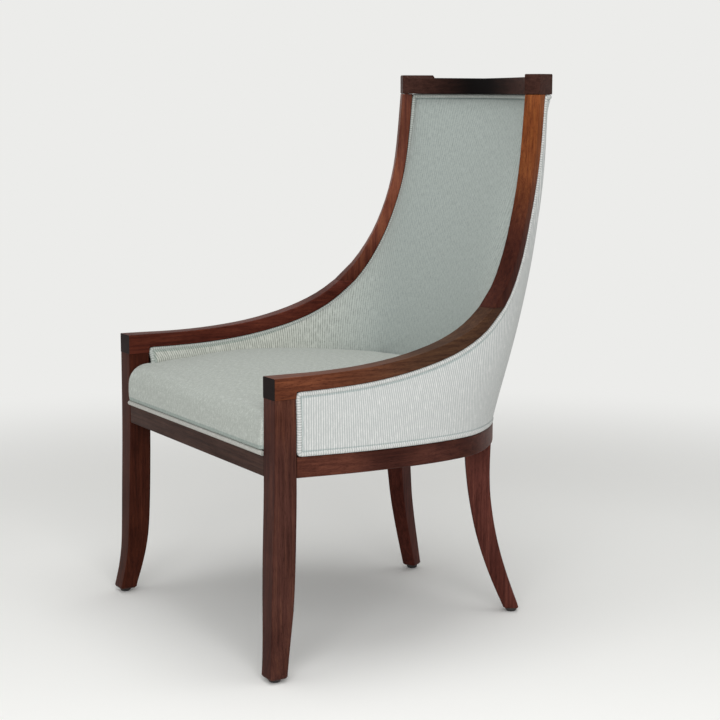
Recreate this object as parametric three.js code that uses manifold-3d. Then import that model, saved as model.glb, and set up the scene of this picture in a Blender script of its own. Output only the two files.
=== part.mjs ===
// Upholstered klismos dining chair: stained wood show frame, wrapped tub back and tight seat.
// Millimetres, +Z up. The sitter faces -Y and +X is the sitter's left hand.
import * as THREE from 'three';
import { mergeVertices } from 'three/addons/utils/BufferGeometryUtils.js';
import Module from 'manifold-3d';

const wasm = await Module();
wasm.setup();

// Clearances between neighbouring pieces
const fitGap = 0.3;
const softGap = 1;
const weltGap = 1.8;
const cutOverrun = 2;

// Heights above the floor
const railTop = 376.5;
const railHeight = 35;
const armRiseHeight = 134;
const spliceRiseShare = 0.1844;
const spliceRunHeight = 26;
const crestTop = 1002.5;
const crestHeight = 36.5;
const crestDip = 7;

// Front legs and arms, measured from the middle plane and from the front face of the legs
const armOuter = 321.5;
const legWidth = 42.1;
const legTaperWidth = 3;
const legDepth = 41.3;
const armEndThickness = 36;
const armShowDepth = 25.5;
const footSplayWidth = 12.9;
const footWidth = 34.9;
const footForward = 18.4;
const footRear = 14;
const footEaseHeight = 3;
const arris = 1.6;
const jointArris = 0.2;

// Stiles and crest rail
const stileOuter = 238;
const stileOverhangDepth = 8;
const stileWidth = 32;
const stileShowDepth = 20;
const stileTurn = 26 * Math.PI / 180;
const crestDepth = 43;
const crestFrontSag = 40;
const crestRearSag = 39;
const crestSetBackDepth = 4;
const crestShoulderWidth = 4;
const crestPadSetBackDepth = 17;

// Seat rails, seen from above
const railLegGap = 2.5;
const railSwellWidth = 15;
const railBack = 572;
const railThickness = 40;
const frontRailThickness = 26;
const railJointTurn = 44 * Math.PI / 180;
const tubAxisBack = 250;

// Rear legs
const rearLegPlaceTurn = 32.1 * Math.PI / 180;
const rearLegTurn = 31 * Math.PI / 180;
const rearLegTopDepth = 49;
const rearLegFootDepth = 28;
const rearLegTopWidth = 37;
const rearLegFootWidth = 27;
const rearFootSplayWidth = 33;
const rearFootSweepDepth = 70;

// Wrapped back, from the inside face to the outside face
const wrapThickness = 28;
const backBow = 22;
const weltRadius = 4.3;
const outsideWeltDepth = 3;
const insideWeltDepth = 4;
const weltCorner = 8;
const padShare = 0.3;
const boardRoom = 1.3;
const boardInnerShare = 0.46;
const boardOuterShare = 0.68;
const coverShare = 0.76;

// Seat
const seatThickness = 94;
const seatLineRiseHeight = 4;
const seatNoseFallHeight = 13;
const seatCrown = 13;
const seatLegGap = 2.4;
const seatSideGap = 8.4;
const seatBackGap = 92;
const noseRadius = 41;
const noseBulge = 5.5;
const sideRoll = 12;
const strapWidth = 50;
const strapThickness = 2;
const strapCount = 3;
const strapPitch = 110;
const crossStrapFront = 120;
const strapLap = 21;
const strapFrontShare = 0.33;
const dustCoverThickness = 1.5;
const dustCoverNotchGap = 1.5;

// Hardware
const dowelRadius = 4;
const armDowelRadius = 5;
const dowelReach = 20;
const glideRadius = 11;
const glideHeight = 7.5;
const glidePinRadius = 2.2;
const glidePinLength = 14;
const blockHeight = 30;
const blockReach = 56;
const blockThickness = 24;
const screwRadius = 2.2;
const screwHeadRadius = 4.5;
const screwHeadHeight = 3;
const screwReach = 20;

// Sizes worked out from the driving ones
const railBottom = railTop - railHeight;
const crestBottom = crestTop - crestHeight;
const armTop = railTop + armRiseHeight;
const armInner = armOuter - legWidth;
const legTop = armTop - armEndThickness - fitGap;
const spliceHeight = between(armTop, crestBottom, spliceRiseShare);
const footOuter = armOuter + footSplayWidth;
const footInner = footOuter - footWidth;
const stileBack = railBack + stileOverhangDepth;
const railFrontHalf = armOuter - railLegGap;
const railWidestHalf = railFrontHalf + railSwellWidth;
const seatEdgeHeight = railTop + seatThickness;
const seatLineHeight = seatEdgeHeight + seatLineRiseHeight;
const seatFrontHeight = seatEdgeHeight - seatNoseFallHeight;
const seatFrontHalf = armInner - seatLegGap;
const seatHalf = armInner - seatSideGap;
const seatBack = railBack - seatBackGap;
const weltRoom = 2 * (weltRadius + softGap) + weltGap;
const deckTop = railTop + 2 * (fitGap + strapThickness);

// Finishes
const mahogany = new THREE.MeshStandardMaterial({ color: 0x5a2b1c, roughness: 0.35 });
const darkMahogany = new THREE.MeshStandardMaterial({ color: 0x3c2220, roughness: 0.35 });
const paleFabric = new THREE.MeshStandardMaterial({ color: 0xc3cac2, roughness: 0.95 });
const sageFabric = new THREE.MeshStandardMaterial({ color: 0xa9b3ab, roughness: 0.95 });
const poplar = new THREE.MeshStandardMaterial({ color: 0x45261a, roughness: 0.8 });
const beech = new THREE.MeshStandardMaterial({ color: 0xd2b183, roughness: 0.7 });
const jute = new THREE.MeshStandardMaterial({ color: 0x9b8058, roughness: 1 });
const blackCloth = new THREE.MeshStandardMaterial({ color: 0x1d1d1e, roughness: 1 });
const steel = new THREE.MeshStandardMaterial({ color: 0x9a9c9f, roughness: 0.3, metalness: 1 });
const nylon = new THREE.MeshStandardMaterial({ color: 0x2a2725, roughness: 0.5 });

const chair = new THREE.Group();

function addPiece(name, geometry, material) {
  const mesh = new THREE.Mesh(geometry, material);
  mesh.name = name;
  chair.add(mesh);
  return mesh;
}

// A piece and its mirror image on the sitter's right
function addPair(name, geometry, material) {
  addPiece(`${name}_left`, geometry, material);
  addPiece(`${name}_right`, mirrored(geometry), material);
}

function mirrored(geometry) {
  const copy = geometry.clone();
  const position = copy.attributes.position;
  for (let i = 0; i < position.count; i += 1) {
    position.setX(i, -position.getX(i));
  }
  const index = copy.index.array;
  for (let i = 0; i < index.length; i += 3) {
    [index[i], index[i + 1]] = [index[i + 1], index[i]];
  }
  copy.computeVertexNormals();
  return copy;
}

function welded(geometry) {
  const bare = geometry.clone();
  bare.deleteAttribute('normal');
  bare.deleteAttribute('uv');
  return mergeVertices(bare);
}

// Surface through a row of rings that all have the same number of points, closed at both ends
function loft(rings) {
  const count = rings[0].length;
  const vertices = rings.flat().flatMap((p) => [p.x, p.y, p.z]);
  const index = [];
  for (let r = 0; r + 1 < rings.length; r += 1) {
    for (let i = 0; i < count; i += 1) {
      const a = r * count + i;
      const b = r * count + (i + 1) % count;
      index.push(a, b, a + count, b, b + count, a + count);
    }
  }
  const last = (rings.length - 1) * count;
  for (const [a, b, c] of endTriangles(rings[0], 0, vertices)) {
    index.push(a, c, b);
  }
  for (const [a, b, c] of endTriangles(rings[rings.length - 1], last, vertices)) {
    index.push(a, b, c);
  }
  return outward(fromArrays(vertices, index));
}

// Triangles that close a ring. One with points in a straight line is closed round its middle.
function endTriangles(ring, start, vertices) {
  const flat = capTriangles(ring);
  if (flat.length === ring.length - 2) {
    return flat.map((corners) => corners.map((i) => i + start));
  }
  const middle = ringMiddle(ring);
  const hub = vertices.length / 3;
  vertices.push(middle.x, middle.y, middle.z);
  return ring.map((_, i) => [hub, start + i, start + (i + 1) % ring.length]);
}

function fromArrays(vertices, index) {
  const geometry = new THREE.BufferGeometry();
  geometry.setAttribute('position', new THREE.Float32BufferAttribute(vertices, 3));
  geometry.setIndex(index);
  geometry.computeVertexNormals();
  return geometry;
}

// Triangles of a nearly flat ring, worked out in the plane of its two longest directions
function capTriangles(ring) {
  const middle = ringMiddle(ring);
  const normal = new THREE.Vector3();
  ring.forEach((p, i) => {
    const q = ring[(i + 1) % ring.length];
    normal.add(p.clone().sub(middle).cross(q.clone().sub(middle)));
  });
  normal.normalize();
  const first = ring[1].clone().sub(ring[0]);
  first.addScaledVector(normal, -first.dot(normal)).normalize();
  const second = normal.clone().cross(first);
  const flat = ring.map((p) => new THREE.Vector2(p.dot(first), p.dot(second)));
  return THREE.ShapeUtils.triangulateShape(flat, []);
}

// Turns a closed surface round when its volume comes out negative
function outward(geometry) {
  const position = geometry.attributes.position;
  const index = geometry.index.array;
  const corners = [new THREE.Vector3(), new THREE.Vector3(), new THREE.Vector3()];
  let volume = 0;
  for (let i = 0; i < index.length; i += 3) {
    corners.forEach((corner, k) => corner.fromBufferAttribute(position, index[i + k]));
    volume += corners[0].dot(corners[1].clone().cross(corners[2]));
  }
  if (volume < 0) {
    for (let i = 0; i < index.length; i += 3) {
      [index[i], index[i + 1]] = [index[i + 1], index[i]];
    }
    geometry.computeVertexNormals();
  }
  return geometry;
}

function toSolid(geometry) {
  const shape = welded(geometry);
  const vertProperties = new Float32Array(shape.attributes.position.array);
  const triVerts = new Uint32Array(shape.index.array);
  return new wasm.Manifold(new wasm.Mesh({ numProp: 3, vertProperties, triVerts }));
}

function fromSolid(solid) {
  const mesh = solid.getMesh();
  return fromArrays(Array.from(mesh.vertProperties), Array.from(mesh.triVerts));
}

// A geometry with the volumes of the cutters taken away
function carved(geometry, cutters) {
  const solid = cutters.reduce((body, cutter) => body.subtract(toSolid(cutter)), toSolid(geometry));
  return fromSolid(solid);
}

// Round rod between two points
function rod(start, end, radius) {
  const sides = 10;
  const along = end.clone().sub(start);
  const geometry = new THREE.CylinderGeometry(radius, radius, along.length(), sides);
  const turn = new THREE.Quaternion().setFromUnitVectors(
    new THREE.Vector3(0, 1, 0),
    along.clone().normalize(),
  );
  geometry.applyQuaternion(turn);
  const middle = start.clone().add(end).multiplyScalar(0.5);
  geometry.translate(middle.x, middle.y, middle.z);
  return welded(geometry);
}

// Profile of radii and heights turned about a line from a point
function turned(profile, base, direction) {
  const sides = 12;
  const geometry = new THREE.LatheGeometry(profile.map(([r, h]) => new THREE.Vector2(r, h)), sides);
  const turn = new THREE.Quaternion().setFromUnitVectors(new THREE.Vector3(0, 1, 0), direction);
  geometry.applyQuaternion(turn);
  geometry.translate(base.x, base.y, base.z);
  return outward(welded(geometry));
}

function slab(outline, bottom, height) {
  const shape = new THREE.Shape(outline.map((p) => new THREE.Vector2(p.x, p.y)));
  const geometry = new THREE.ExtrudeGeometry(shape, { depth: height, bevelEnabled: false });
  geometry.translate(0, 0, bottom);
  return outward(welded(geometry));
}

function plate(size, centre) {
  const geometry = new THREE.BoxGeometry(size.x, size.y, size.z);
  geometry.translate(centre.x, centre.y, centre.z);
  return welded(geometry);
}

function smoothCurve(points) {
  return new THREE.CatmullRomCurve3(points, false, 'centripetal');
}

// Rows of numbers run through smoothly, each row read at a place from 0 to 1
function smoothTable(rows) {
  return (place) => {
    const span = place * (rows.length - 1);
    const row = Math.min(Math.floor(span), rows.length - 2);
    const part = span - row;
    return rows[0].map((_, column) => {
      const at = (i) => rows[THREE.MathUtils.clamp(i, 0, rows.length - 1)][column];
      const slopeIn = (at(row + 1) - at(row - 1)) / 2;
      const slopeOut = (at(row + 2) - at(row)) / 2;
      const rise = at(row + 1) - at(row);
      const square = part * part;
      const cube = square * part;
      return at(row) + rise * (3 * square - 2 * cube)
        + slopeIn * (cube - 2 * square + part) + slopeOut * (cube - square);
    });
  };
}

function steps(count) {
  return Array.from({ length: count + 1 }, (_, i) => i / count);
}

function between(low, high, share) {
  return low + (high - low) * share;
}

// Box section with its long edges eased, those of its rear face by their own amount where given
function easedSection(left, right, front, rear, ease, rearEase = ease) {
  return [
    [left + ease, front],
    [right - ease, front],
    [right, front + ease],
    [right, rear - rearEase],
    [right - rearEase, rear],
    [left + rearEase, rear],
    [left, rear - rearEase],
    [left, front + ease],
  ];
}

// Arm and stile

// Outer top edge of the arm, which sweeps up to become the outer front edge of the stile.
// Columns: spread, set back, rise, turn, width and show depth.
const sweepShares = [
  [1, 0, 0, 0, 1, 0],
  [0.955, 0.0712, 0, 0.06, 0.6, 0],
  [0.886, 0.19, 0, 0.1, 0.1, 0],
  [0.844, 0.328, 0.008, 0.1, 0.02, 0],
  [0.784, 0.474, 0.031, 0.12, 0.02, 0.1],
  [0.73, 0.621, 0.077, 0.16, 0.3, 0.2],
  [0.623, 0.738, 0.145, 0.42, 0.45, 0.45],
  [0.443, 0.831, 0.248, 0.66, 0.2, 0.6],
  [0.251, 0.897, 0.375, 0.95, 0, 0.8],
  [0.108, 0.94, 0.511, 1, -0.1, 1],
  [0.036, 0.969, 0.651, 0.96, -0.1, 1],
  [0.018, 0.986, 0.792, 0.93, 0, 1],
  [0, 1, 1, 0.89, 0, 1],
];
const sweepTable = smoothTable(sweepShares);

// Place 0 is the arm's front end and 1 the top of the stile
function sweepAt(place) {
  const [spread, setBack, rise, turn, wide, deep] = sweepTable(place);
  const outer = new THREE.Vector3(
    between(stileOuter, armOuter, spread),
    stileBack * setBack,
    between(armTop, crestBottom - fitGap, rise),
  );
  const heading = stileTurn * turn;
  const across = new THREE.Vector3(Math.cos(heading), Math.sin(heading), 0);
  const width = between(stileWidth, armOuter - armInner, wide);
  const inner = outer.clone().addScaledVector(across, -width);
  return { outer, inner, across, width, showDepth: between(armShowDepth, stileShowDepth, deep) };
}

// The same, with the direction from the show face into the depth of the wood
function sweepFrame(place) {
  const stepShare = 0.004;
  const frame = sweepAt(place);
  const ahead = sweepAt(Math.min(1, place + stepShare)).outer;
  const behind = sweepAt(Math.max(0, place - stepShare)).outer;
  frame.along = ahead.sub(behind).normalize();
  frame.down = frame.across.clone().cross(frame.along).normalize();
  if (frame.down.z > frame.down.y) {
    frame.down.negate();
  }
  return frame;
}

// Place where a measure that falls along the way passes a wanted value
function solvePlace(low, high, measure, wanted) {
  let near = low;
  let far = high;
  for (let i = 0; i < 40; i += 1) {
    const middle = (near + far) / 2;
    if (measure(middle) > wanted) {
      near = middle;
    } else {
      far = middle;
    }
  }
  return near;
}

function sweepPlaceAt(back) {
  return solvePlace(0, 1, (at) => -sweepAt(at).outer.y, -back);
}

function sweepRing(place, deep, lowerEase) {
  const { outer, inner, across, down } = sweepFrame(place);
  const width = outer.distanceTo(inner);
  return easedSection(0, width, 0, deep, arris, lowerEase).map(([side, depth]) => (
    inner.clone().addScaledVector(across, side).addScaledVector(down, depth)
  ));
}

// A ring as deep as the wood that shows above the fabric
function showRing(place) {
  return sweepRing(place, sweepAt(place).showDepth, arris);
}

// A ring stood upright, for the square front end of the arm
function plumbed(ring, place) {
  const back = sweepAt(place).outer.y;
  return ring.map((p) => new THREE.Vector3(p.x, back, p.z));
}

// A ring slid along the grain until it lies in one level plane
function levelled(ring, along, height) {
  return ring.map((p) => p.clone().addScaledVector(along, (height - p.z) / along.z));
}

const armSteps = 18;
const stileSteps = 14;
const armBackPlace = sweepPlaceAt(legDepth);
const stepPlace = sweepPlaceAt(legDepth + arris);
const splicePlace = sweepPlaceForHeight(spliceHeight);
const stopPlace = sweepPlaceForHeight(spliceHeight - spliceRunHeight);
const startPlace = sweepPlaceForHeight(spliceHeight + spliceRunHeight);
const armPlaces = steps(armSteps).map((share) => between(stepPlace, stopPlace, share));
const stilePlaces = steps(stileSteps).map((share) => between(startPlace, 1, share));

function sweepPlaceForHeight(height) {
  return solvePlace(0, 1, (at) => -sweepCentre(at).centre.z, -height);
}

function sweepCentre(place) {
  const { outer, inner, down, showDepth, along } = sweepFrame(place);
  const centre = outer.clone().add(inner).multiplyScalar(0.5).addScaledVector(down, showDepth / 2);
  return { centre, along };
}

function makeArm() {
  const spliceFrame = sweepFrame(splicePlace);
  const rings = [0, armBackPlace].map((place) => (
    plumbed(sweepRing(place, armEndThickness, jointArris), place)
  ));
  rings.push(plumbed(showRing(stepPlace), stepPlace));
  armPlaces.slice(1).forEach((place) => rings.push(showRing(place)));
  rings.push(levelled(showRing(splicePlace), spliceFrame.along, spliceHeight - fitGap / 2));
  return loft(rings);
}

function makeStile() {
  const spliceFrame = sweepFrame(splicePlace);
  const rings = [levelled(showRing(splicePlace), spliceFrame.along, spliceHeight + fitGap / 2)];
  stilePlaces.slice(0, -1).forEach((place) => rings.push(showRing(place)));
  const top = sweepFrame(1);
  rings.push(levelled(showRing(1), top.along, crestBottom - fitGap));
  return loft(rings);
}

// Crest rail

// Both sides of a plan curve, given from its left end to the middle of the back
function bothSides(points) {
  const other = points.slice(0, -1).reverse().map((p) => new THREE.Vector3(-p.x, p.y, p.z));
  return [...points, ...other];
}

// Point of a plan curve with its outward direction, place 0 at the left end
function planAt(curve, place) {
  const point = curve.getPointAt(place);
  const tangent = curve.getTangentAt(place);
  return { point, out: new THREE.Vector3(tangent.y, -tangent.x, 0) };
}

// Corners of the crest rail's left end, which carries on the section of the stile
const stileTop = sweepAt(1);
const topBack = new THREE.Vector3(-stileTop.across.y, stileTop.across.x, 0);
const earFront = [stileTop.outer.clone().setZ(0), stileTop.inner.clone().setZ(0)];
const earRear = earFront[0].clone().addScaledVector(topBack, crestDepth);

// Bow of a face between its end and the middle plane, share 0 at the end
function bowed(end, sag, share) {
  const x = end.x * (1 - share);
  const radius = (end.x ** 2 + sag ** 2) / (2 * sag);
  const fall = radius - Math.sqrt(radius ** 2 - x ** 2);
  return new THREE.Vector3(x, end.y + sag - fall, 0);
}

const crestFrontEnd = earFront[1].clone().addScaledVector(topBack, crestSetBackDepth);

function crestFront(share) {
  return bowed(crestFrontEnd, crestFrontSag, share);
}

function crestRear(share) {
  return bowed(earRear, crestRearSag, share);
}

function crestHeights(dip) {
  return { bottom: crestBottom, top: crestTop - crestDip * dip };
}

function crestRing(front, rear, dip) {
  const { bottom, top } = crestHeights(dip);
  const back = rear.clone().sub(front);
  const depth = back.length();
  back.normalize();
  return easedSection(0, depth, bottom, top, arris).map(([side, height]) => (
    new THREE.Vector3(front.x + back.x * side, front.y + back.y * side, height)
  ));
}

function makeCrest() {
  const earShare = (earFront[0].x - earFront[1].x) / earRear.x;
  const shoulderShare = crestShoulderWidth / earRear.x;
  const shoulderDipShare = 0.75;
  const middleSteps = 12;
  const half = [
    crestRing(earFront[0], earRear, 0),
    crestRing(earFront[1], crestRear(earShare), 0),
    crestRing(crestFront(shoulderShare), crestRear(earShare + shoulderShare), shoulderDipShare),
  ];
  steps(middleSteps).slice(1).forEach((part) => {
    const front = crestFront(between(shoulderShare, 1, part));
    const rear = crestRear(between(earShare + shoulderShare, 1, part));
    half.push(crestRing(front, rear, between(shoulderDipShare, 1, part)));
  });
  const other = half.slice(0, -1).reverse().map((ring) => (
    ring.map((p) => new THREE.Vector3(-p.x, p.y, p.z))
  ));
  return loft([...half, ...other]);
}

// Seat rails

// Outer face of the seat rails seen from above, from the front leg to the middle of the back
const railShares = [
  [0, 0],
  [0.8, 0.184],
  [1, 0.347],
  [0.979, 0.534],
  [0.919, 0.674],
  [0.79, 0.788],
  [0.644, 0.868],
  [0.506, 0.921],
  [0.329, 0.968],
  [0, 1],
];
const railHalfPoints = railShares.map(([out, back], i) => {
  const spread = i < 3 ? between(railFrontHalf, railWidestHalf, out) : railWidestHalf * out;
  return new THREE.Vector3(spread, between(legDepth + fitGap, railBack, back), 0);
});
const railCurve = smoothCurve(bothSides(railHalfPoints));

// Angle about the upright axis of the tub, 0 straight back
function turnOf(point) {
  return Math.atan2(point.x, point.y - tubAxisBack);
}

function railPlaceAt(turn) {
  return solvePlace(0, 1, (at) => turnOf(railCurve.getPointAt(at)), turn);
}

function railSection(place) {
  const { point, out } = planAt(railCurve, place);
  return easedSection(-railThickness, 0, railBottom, railTop, arris).map(([side, height]) => (
    new THREE.Vector3(point.x + out.x * side, point.y + out.y * side, height)
  ));
}

const railJointPlace = railPlaceAt(railJointTurn);
const railJointGap = fitGap / railCurve.getLength();

const sideSteps = 18;
const rearSteps = 18;
const sideRailEnd = railJointPlace - railJointGap / 2;
const rearRailStart = railJointPlace + railJointGap / 2;
const sidePlaces = steps(sideSteps).map((share) => between(0, sideRailEnd, share));
const rearPlaces = steps(rearSteps).map((share) => between(rearRailStart, 1 - rearRailStart, share));

function makeSideRail() {
  return loft(sidePlaces.map(railSection));
}

function makeRearRail() {
  return loft(rearPlaces.map(railSection));
}

function makeFrontRail() {
  const half = armInner - fitGap;
  const section = easedSection(0, frontRailThickness, railBottom, railTop, arris);
  return loft([half, -half].map((x) => section.map(([y, z]) => new THREE.Vector3(x, y, z))));
}

// Front legs

// Columns: height, forward curve of the front, of the rear, splay of the outer and inner face
const frontLegShares = [
  [1, 0, 0, 0, 0],
  [0.8, 0.02, 0, 0, 0],
  [0.63, 0.08, 0.01, 0, 0],
  [0.42, 0.25, 0.09, -0.08, 0.03],
  [0.27, 0.36, 0.2, -0.13, 0.13],
  [0.18, 0.45, 0.38, -0.05, 0.28],
  [0.1, 0.63, 0.63, 0.27, 0.56],
  [0.035, 0.86, 0.88, 0.74, 0.86],
  [0, 1, 1, 1, 1],
];
const frontLegTable = smoothTable(frontLegShares);

function frontLegRing(place) {
  const [height, forward, rearward, outer, inner] = frontLegTable(place);
  const front = -footForward * forward;
  const rear = between(legDepth, footRear, rearward);
  const right = between(armOuter, footOuter, outer);
  const left = between(armInner, footInner, inner);
  const draw = legTaperWidth * height;
  return easedSection(left, right, front, rear, arris).map(([x, y]) => {
    const depthShare = (y - front) / (rear - front);
    const pull = draw * depthShare * (x - left) / (right - left);
    return new THREE.Vector3(x - pull, y, between(glideHeight, legTop, height));
  });
}

function makeFrontLeg() {
  const legSteps = 22;
  return loft(easedFoot(steps(legSteps).map(frontLegRing)));
}

// Rings of a leg whose last ring, the sole, is drawn in below a short bevel
function easedFoot(rings) {
  const sole = rings[rings.length - 1];
  const above = rings[rings.length - 2];
  const bevel = sole.map((p, i) => (
    p.clone().lerp(above[i], footEaseHeight / (above[i].z - p.z))
  ));
  const middle = ringMiddle(sole);
  const drawn = sole.map((p) => {
    const inward = middle.clone().sub(p);
    return p.clone().addScaledVector(inward.normalize(), footEaseHeight);
  });
  return [...rings.slice(0, -1), bevel, drawn];
}

// Rear legs

// Columns: height, rearward sweep, outward sweep, taper of the depth and of the width
const rearLegShares = [
  [1, 0, 0, 0, 0],
  [0.86, 0.03, -0.03, 0.14, 0.1],
  [0.74, 0.09, -0.04, 0.3, 0.25],
  [0.62, 0.17, -0.01, 0.42, 0.4],
  [0.465, 0.3, 0.12, 0.52, 0.6],
  [0.31, 0.49, 0.32, 0.65, 0.75],
  [0.16, 0.72, 0.6, 0.8, 0.88],
  [0, 1, 1, 1, 1],
];
const rearLegTable = smoothTable(rearLegShares);

// The outer rear edge of the leg's top is flush with the outer face of the rear rail
const rearLegRail = railCurve.getPointAt(railPlaceAt(rearLegPlaceTurn));
const rearLegDirection = new THREE.Vector3(Math.sin(rearLegTurn), Math.cos(rearLegTurn), 0);
const rearLegCorner = rearLegRail.clone().addScaledVector(rearLegDirection, -rearLegTopDepth);

function rearLegRing(place) {
  const [height, sweep, spread, slim, narrow] = rearLegTable(place);
  const corner = new THREE.Vector3(
    rearLegCorner.x + rearFootSplayWidth * spread,
    rearLegCorner.y + rearFootSweepDepth * sweep,
    between(glideHeight, railBottom - fitGap, height),
  );
  const back = rearLegDirection;
  const inward = new THREE.Vector3(-Math.cos(rearLegTurn), Math.sin(rearLegTurn), 0);
  const depth = between(rearLegTopDepth, rearLegFootDepth, slim);
  const width = between(rearLegTopWidth, rearLegFootWidth, narrow);
  return easedSection(0, width, 0, depth, arris).map(([side, rear]) => (
    corner.clone().addScaledVector(inward, side).addScaledVector(back, rear)
  ));
}

function makeRearLeg() {
  const legSteps = 20;
  return loft(easedFoot(steps(legSteps).map(rearLegRing)));
}

function ringMiddle(ring) {
  return ring.reduce((sum, p) => sum.add(p), new THREE.Vector3()).divideScalar(ring.length);
}

// Wrapped back: pad, boards and outside cover lie in layers between the seat rails and the wood rim

// Point below the wood rim: share 0 is the wrap's inside face and 1 its outside face
function sweepRim(share, drop, place) {
  const frame = sweepFrame(place);
  const point = frame.inner.clone().addScaledVector(frame.across, frame.width * share);
  return point.addScaledVector(frame.down, frame.showDepth + drop);
}

const padTopEnd = crestFrontEnd.clone().addScaledVector(topBack, crestPadSetBackDepth);

function crestRim(share, drop, place) {
  const edge = bowed(padTopEnd, crestFrontSag, place).lerp(crestRear(place), share);
  edge.z = crestBottom - drop;
  return edge;
}

// Ends of the rim: at the leg, at the corner with the crest rail, and where the crest part starts
function rimEnds(share, drop, trim) {
  const wantedBack = legDepth + fitGap + trim;
  const wantedHeight = crestBottom - drop;
  const front = solvePlace(0, 1, (at) => -sweepRim(share, drop, at).y, -wantedBack);
  const corner = solvePlace(0, 1, (at) => -sweepRim(share, drop, at).z, -wantedHeight);
  const cornerTurn = turnOf(sweepRim(share, drop, corner));
  const start = solvePlace(0, 1, (at) => turnOf(crestRim(share, drop, at)), cornerTurn);
  return { front, corner, start };
}

// The whole rim from the arm's front to the middle of the back, read at a place from 0 to 1
const cornerShare = 0.7;

function rimOf(share, drop, trim) {
  const { front, corner, start } = rimEnds(share, drop, trim);
  return (place) => {
    if (place <= cornerShare) {
      return sweepRim(share, drop, between(front, corner, place / cornerShare));
    }
    const part = (place - cornerShare) / (1 - cornerShare);
    return crestRim(share, drop, between(start, 1, part));
  };
}

// Points of the rim at chosen places of the arm and stile and shares of the crest rail
function rimPoints({ share, drop, trim, placeShares, crestShares }) {
  const { front, corner, start } = rimEnds(share, drop, trim);
  const sweeps = [front, ...placeShares, corner].map((at) => sweepRim(share, drop, at));
  const crests = crestShares.map((part) => crestRim(share, drop, between(start, 1, part)));
  return [...sweeps, ...crests];
}

// Rim heights at a turn, from the rim directly under the wood
function rimAtTurn(rim, turn) {
  return rim(solvePlace(0, 1, (at) => turnOf(rim(at)), turn));
}

const rims = new Map();

function restRim(share) {
  if (!rims.has(share)) {
    rims.set(share, rimOf(share, 0, 0));
  }
  return rims.get(share);
}

// Point of a layer between the faces, the rail below and the rim above, with the bowed back
const bowPower = 1.35;

function wrapPoint(share, turn, height) {
  const rim = rimAtTurn(restRim(share), turn);
  const { point, out } = planAt(railCurve, railPlaceAt(turn));
  const foot = point.clone().addScaledVector(out, -wrapThickness * (1 - share));
  foot.z = railTop;
  const part = THREE.MathUtils.clamp((height - railTop) / (rim.z - railTop), 0, 1);
  const bow = backBow * (rim.z - railTop) / (crestBottom - railTop);
  const place = foot.lerp(rim, part).addScaledVector(out, bow * Math.sin(Math.PI * part ** bowPower));
  place.z = height;
  return place;
}

// Line where the seat meets the inside of the wrap, seen from above, from the front to the middle
const seatLineShares = [
  [0.985, 0],
  [1, 0.2],
  [0.985, 0.45],
  [0.92, 0.65],
  [0.83, 0.775],
  [0.7, 0.885],
  [0.55, 0.955],
  [0.38, 0.985],
  [0, 1],
];
const seatLineHalf = seatLineShares.map(([out, back]) => (
  new THREE.Vector3(seatHalf * out, between(legDepth, seatBack, back), 0)
));
const seatLine = smoothCurve(bothSides(seatLineHalf));

// Point of the pad's inside face: upright up to the seat, then leaning out to the rim
function padPoint(turn, height) {
  const place = solvePlace(0, 1, (at) => turnOf(seatLine.getPointAt(at)), turn);
  const foot = seatLine.getPointAt(place);
  const rim = rimAtTurn(restRim(0), turn);
  const low = Math.min(seatLineHeight, rim.z - weltRoom);
  const part = THREE.MathUtils.clamp((height - low) / (rim.z - low), 0, 1);
  const point = foot.lerp(rim, part);
  point.z = height;
  return point;
}

// How far back the wood's depth points where the layers start and end their turn under it
const uprightShares = [0.3, 0.75];

// Upright columns of points of one face, from the left front round to the right front
function faceColumns(layout) {
  const { face, drop, foot, rows } = layout;
  const tops = rimPoints(layout);
  const lows = rimPoints({ ...layout, drop: 0 });
  const upright = [layout.placeShares[0], ...layout.placeShares, 1].map((place) => (
    THREE.MathUtils.smoothstep(sweepFrame(place).down.y, ...uprightShares)
  ));
  const half = tops.map((high, i) => {
    const lowTurn = turnOf(lows[i]);
    const highTurn = turnOf(high);
    const column = steps(rows).map((part) => (
      face(Math.max(0, between(lowTurn, highTurn, part)), between(foot, high.z, part))
    ));
    const exact = layout.underWood ? 1 : upright[i] ?? 1;
    column[rows].lerp(high, exact);
    return column;
  });
  half[0].forEach((point) => point.setY(tops[0].y));
  half[half.length - 1].forEach((point) => point.setX(0));
  const other = half.slice(0, -1).reverse().map((column) => (
    column.map((p) => new THREE.Vector3(-p.x, p.y, p.z))
  ));
  return [...half, ...other];
}

function shellBetween(inside, outside) {
  return loft(inside.map((column, i) => [...column, ...outside[i].slice().reverse()]));
}

function layer(share, layout) {
  return faceColumns({ ...layout, share, face: (turn, height) => wrapPoint(share, turn, height) });
}

const boardLayout = {
  drop: boardRoom,
  foot: railTop + fitGap,
  trim: arris + fitGap,
  rows: 6,
  underWood: true,
  placeShares: [...armPlaces.slice(1), splicePlace, ...stilePlaces.slice(0, -1)],
  crestShares: [0.05, 0.28, 0.52, 0.76, 1],
};
const softLayout = {
  drop: weltRoom,
  trim: weltRoom,
  rows: 6,
  placeShares: [
    0.12, 0.19, 0.25, 0.3, 0.345, 0.39, 0.43, 0.47, 0.51, 0.55, 0.59, 0.635, 0.69, 0.76, 0.85,
  ],
  crestShares: [0.02, 0.25, 0.5, 0.75, 1],
};
const padLayout = { ...softLayout, foot: deckTop + fitGap };
const coverLayout = { ...softLayout, foot: railTop + weltRoom };
const seatFoot = padLayout.foot;
const boardInside = layer(boardInnerShare, boardLayout);
const boardOutside = layer(boardOuterShare, boardLayout);
const padOutside = layer(padShare, padLayout);
const padInside = faceColumns({ ...padLayout, share: 0, face: padPoint });
const coverInside = layer(coverShare, coverLayout);
const coverOutside = layer(1, coverLayout);

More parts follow.
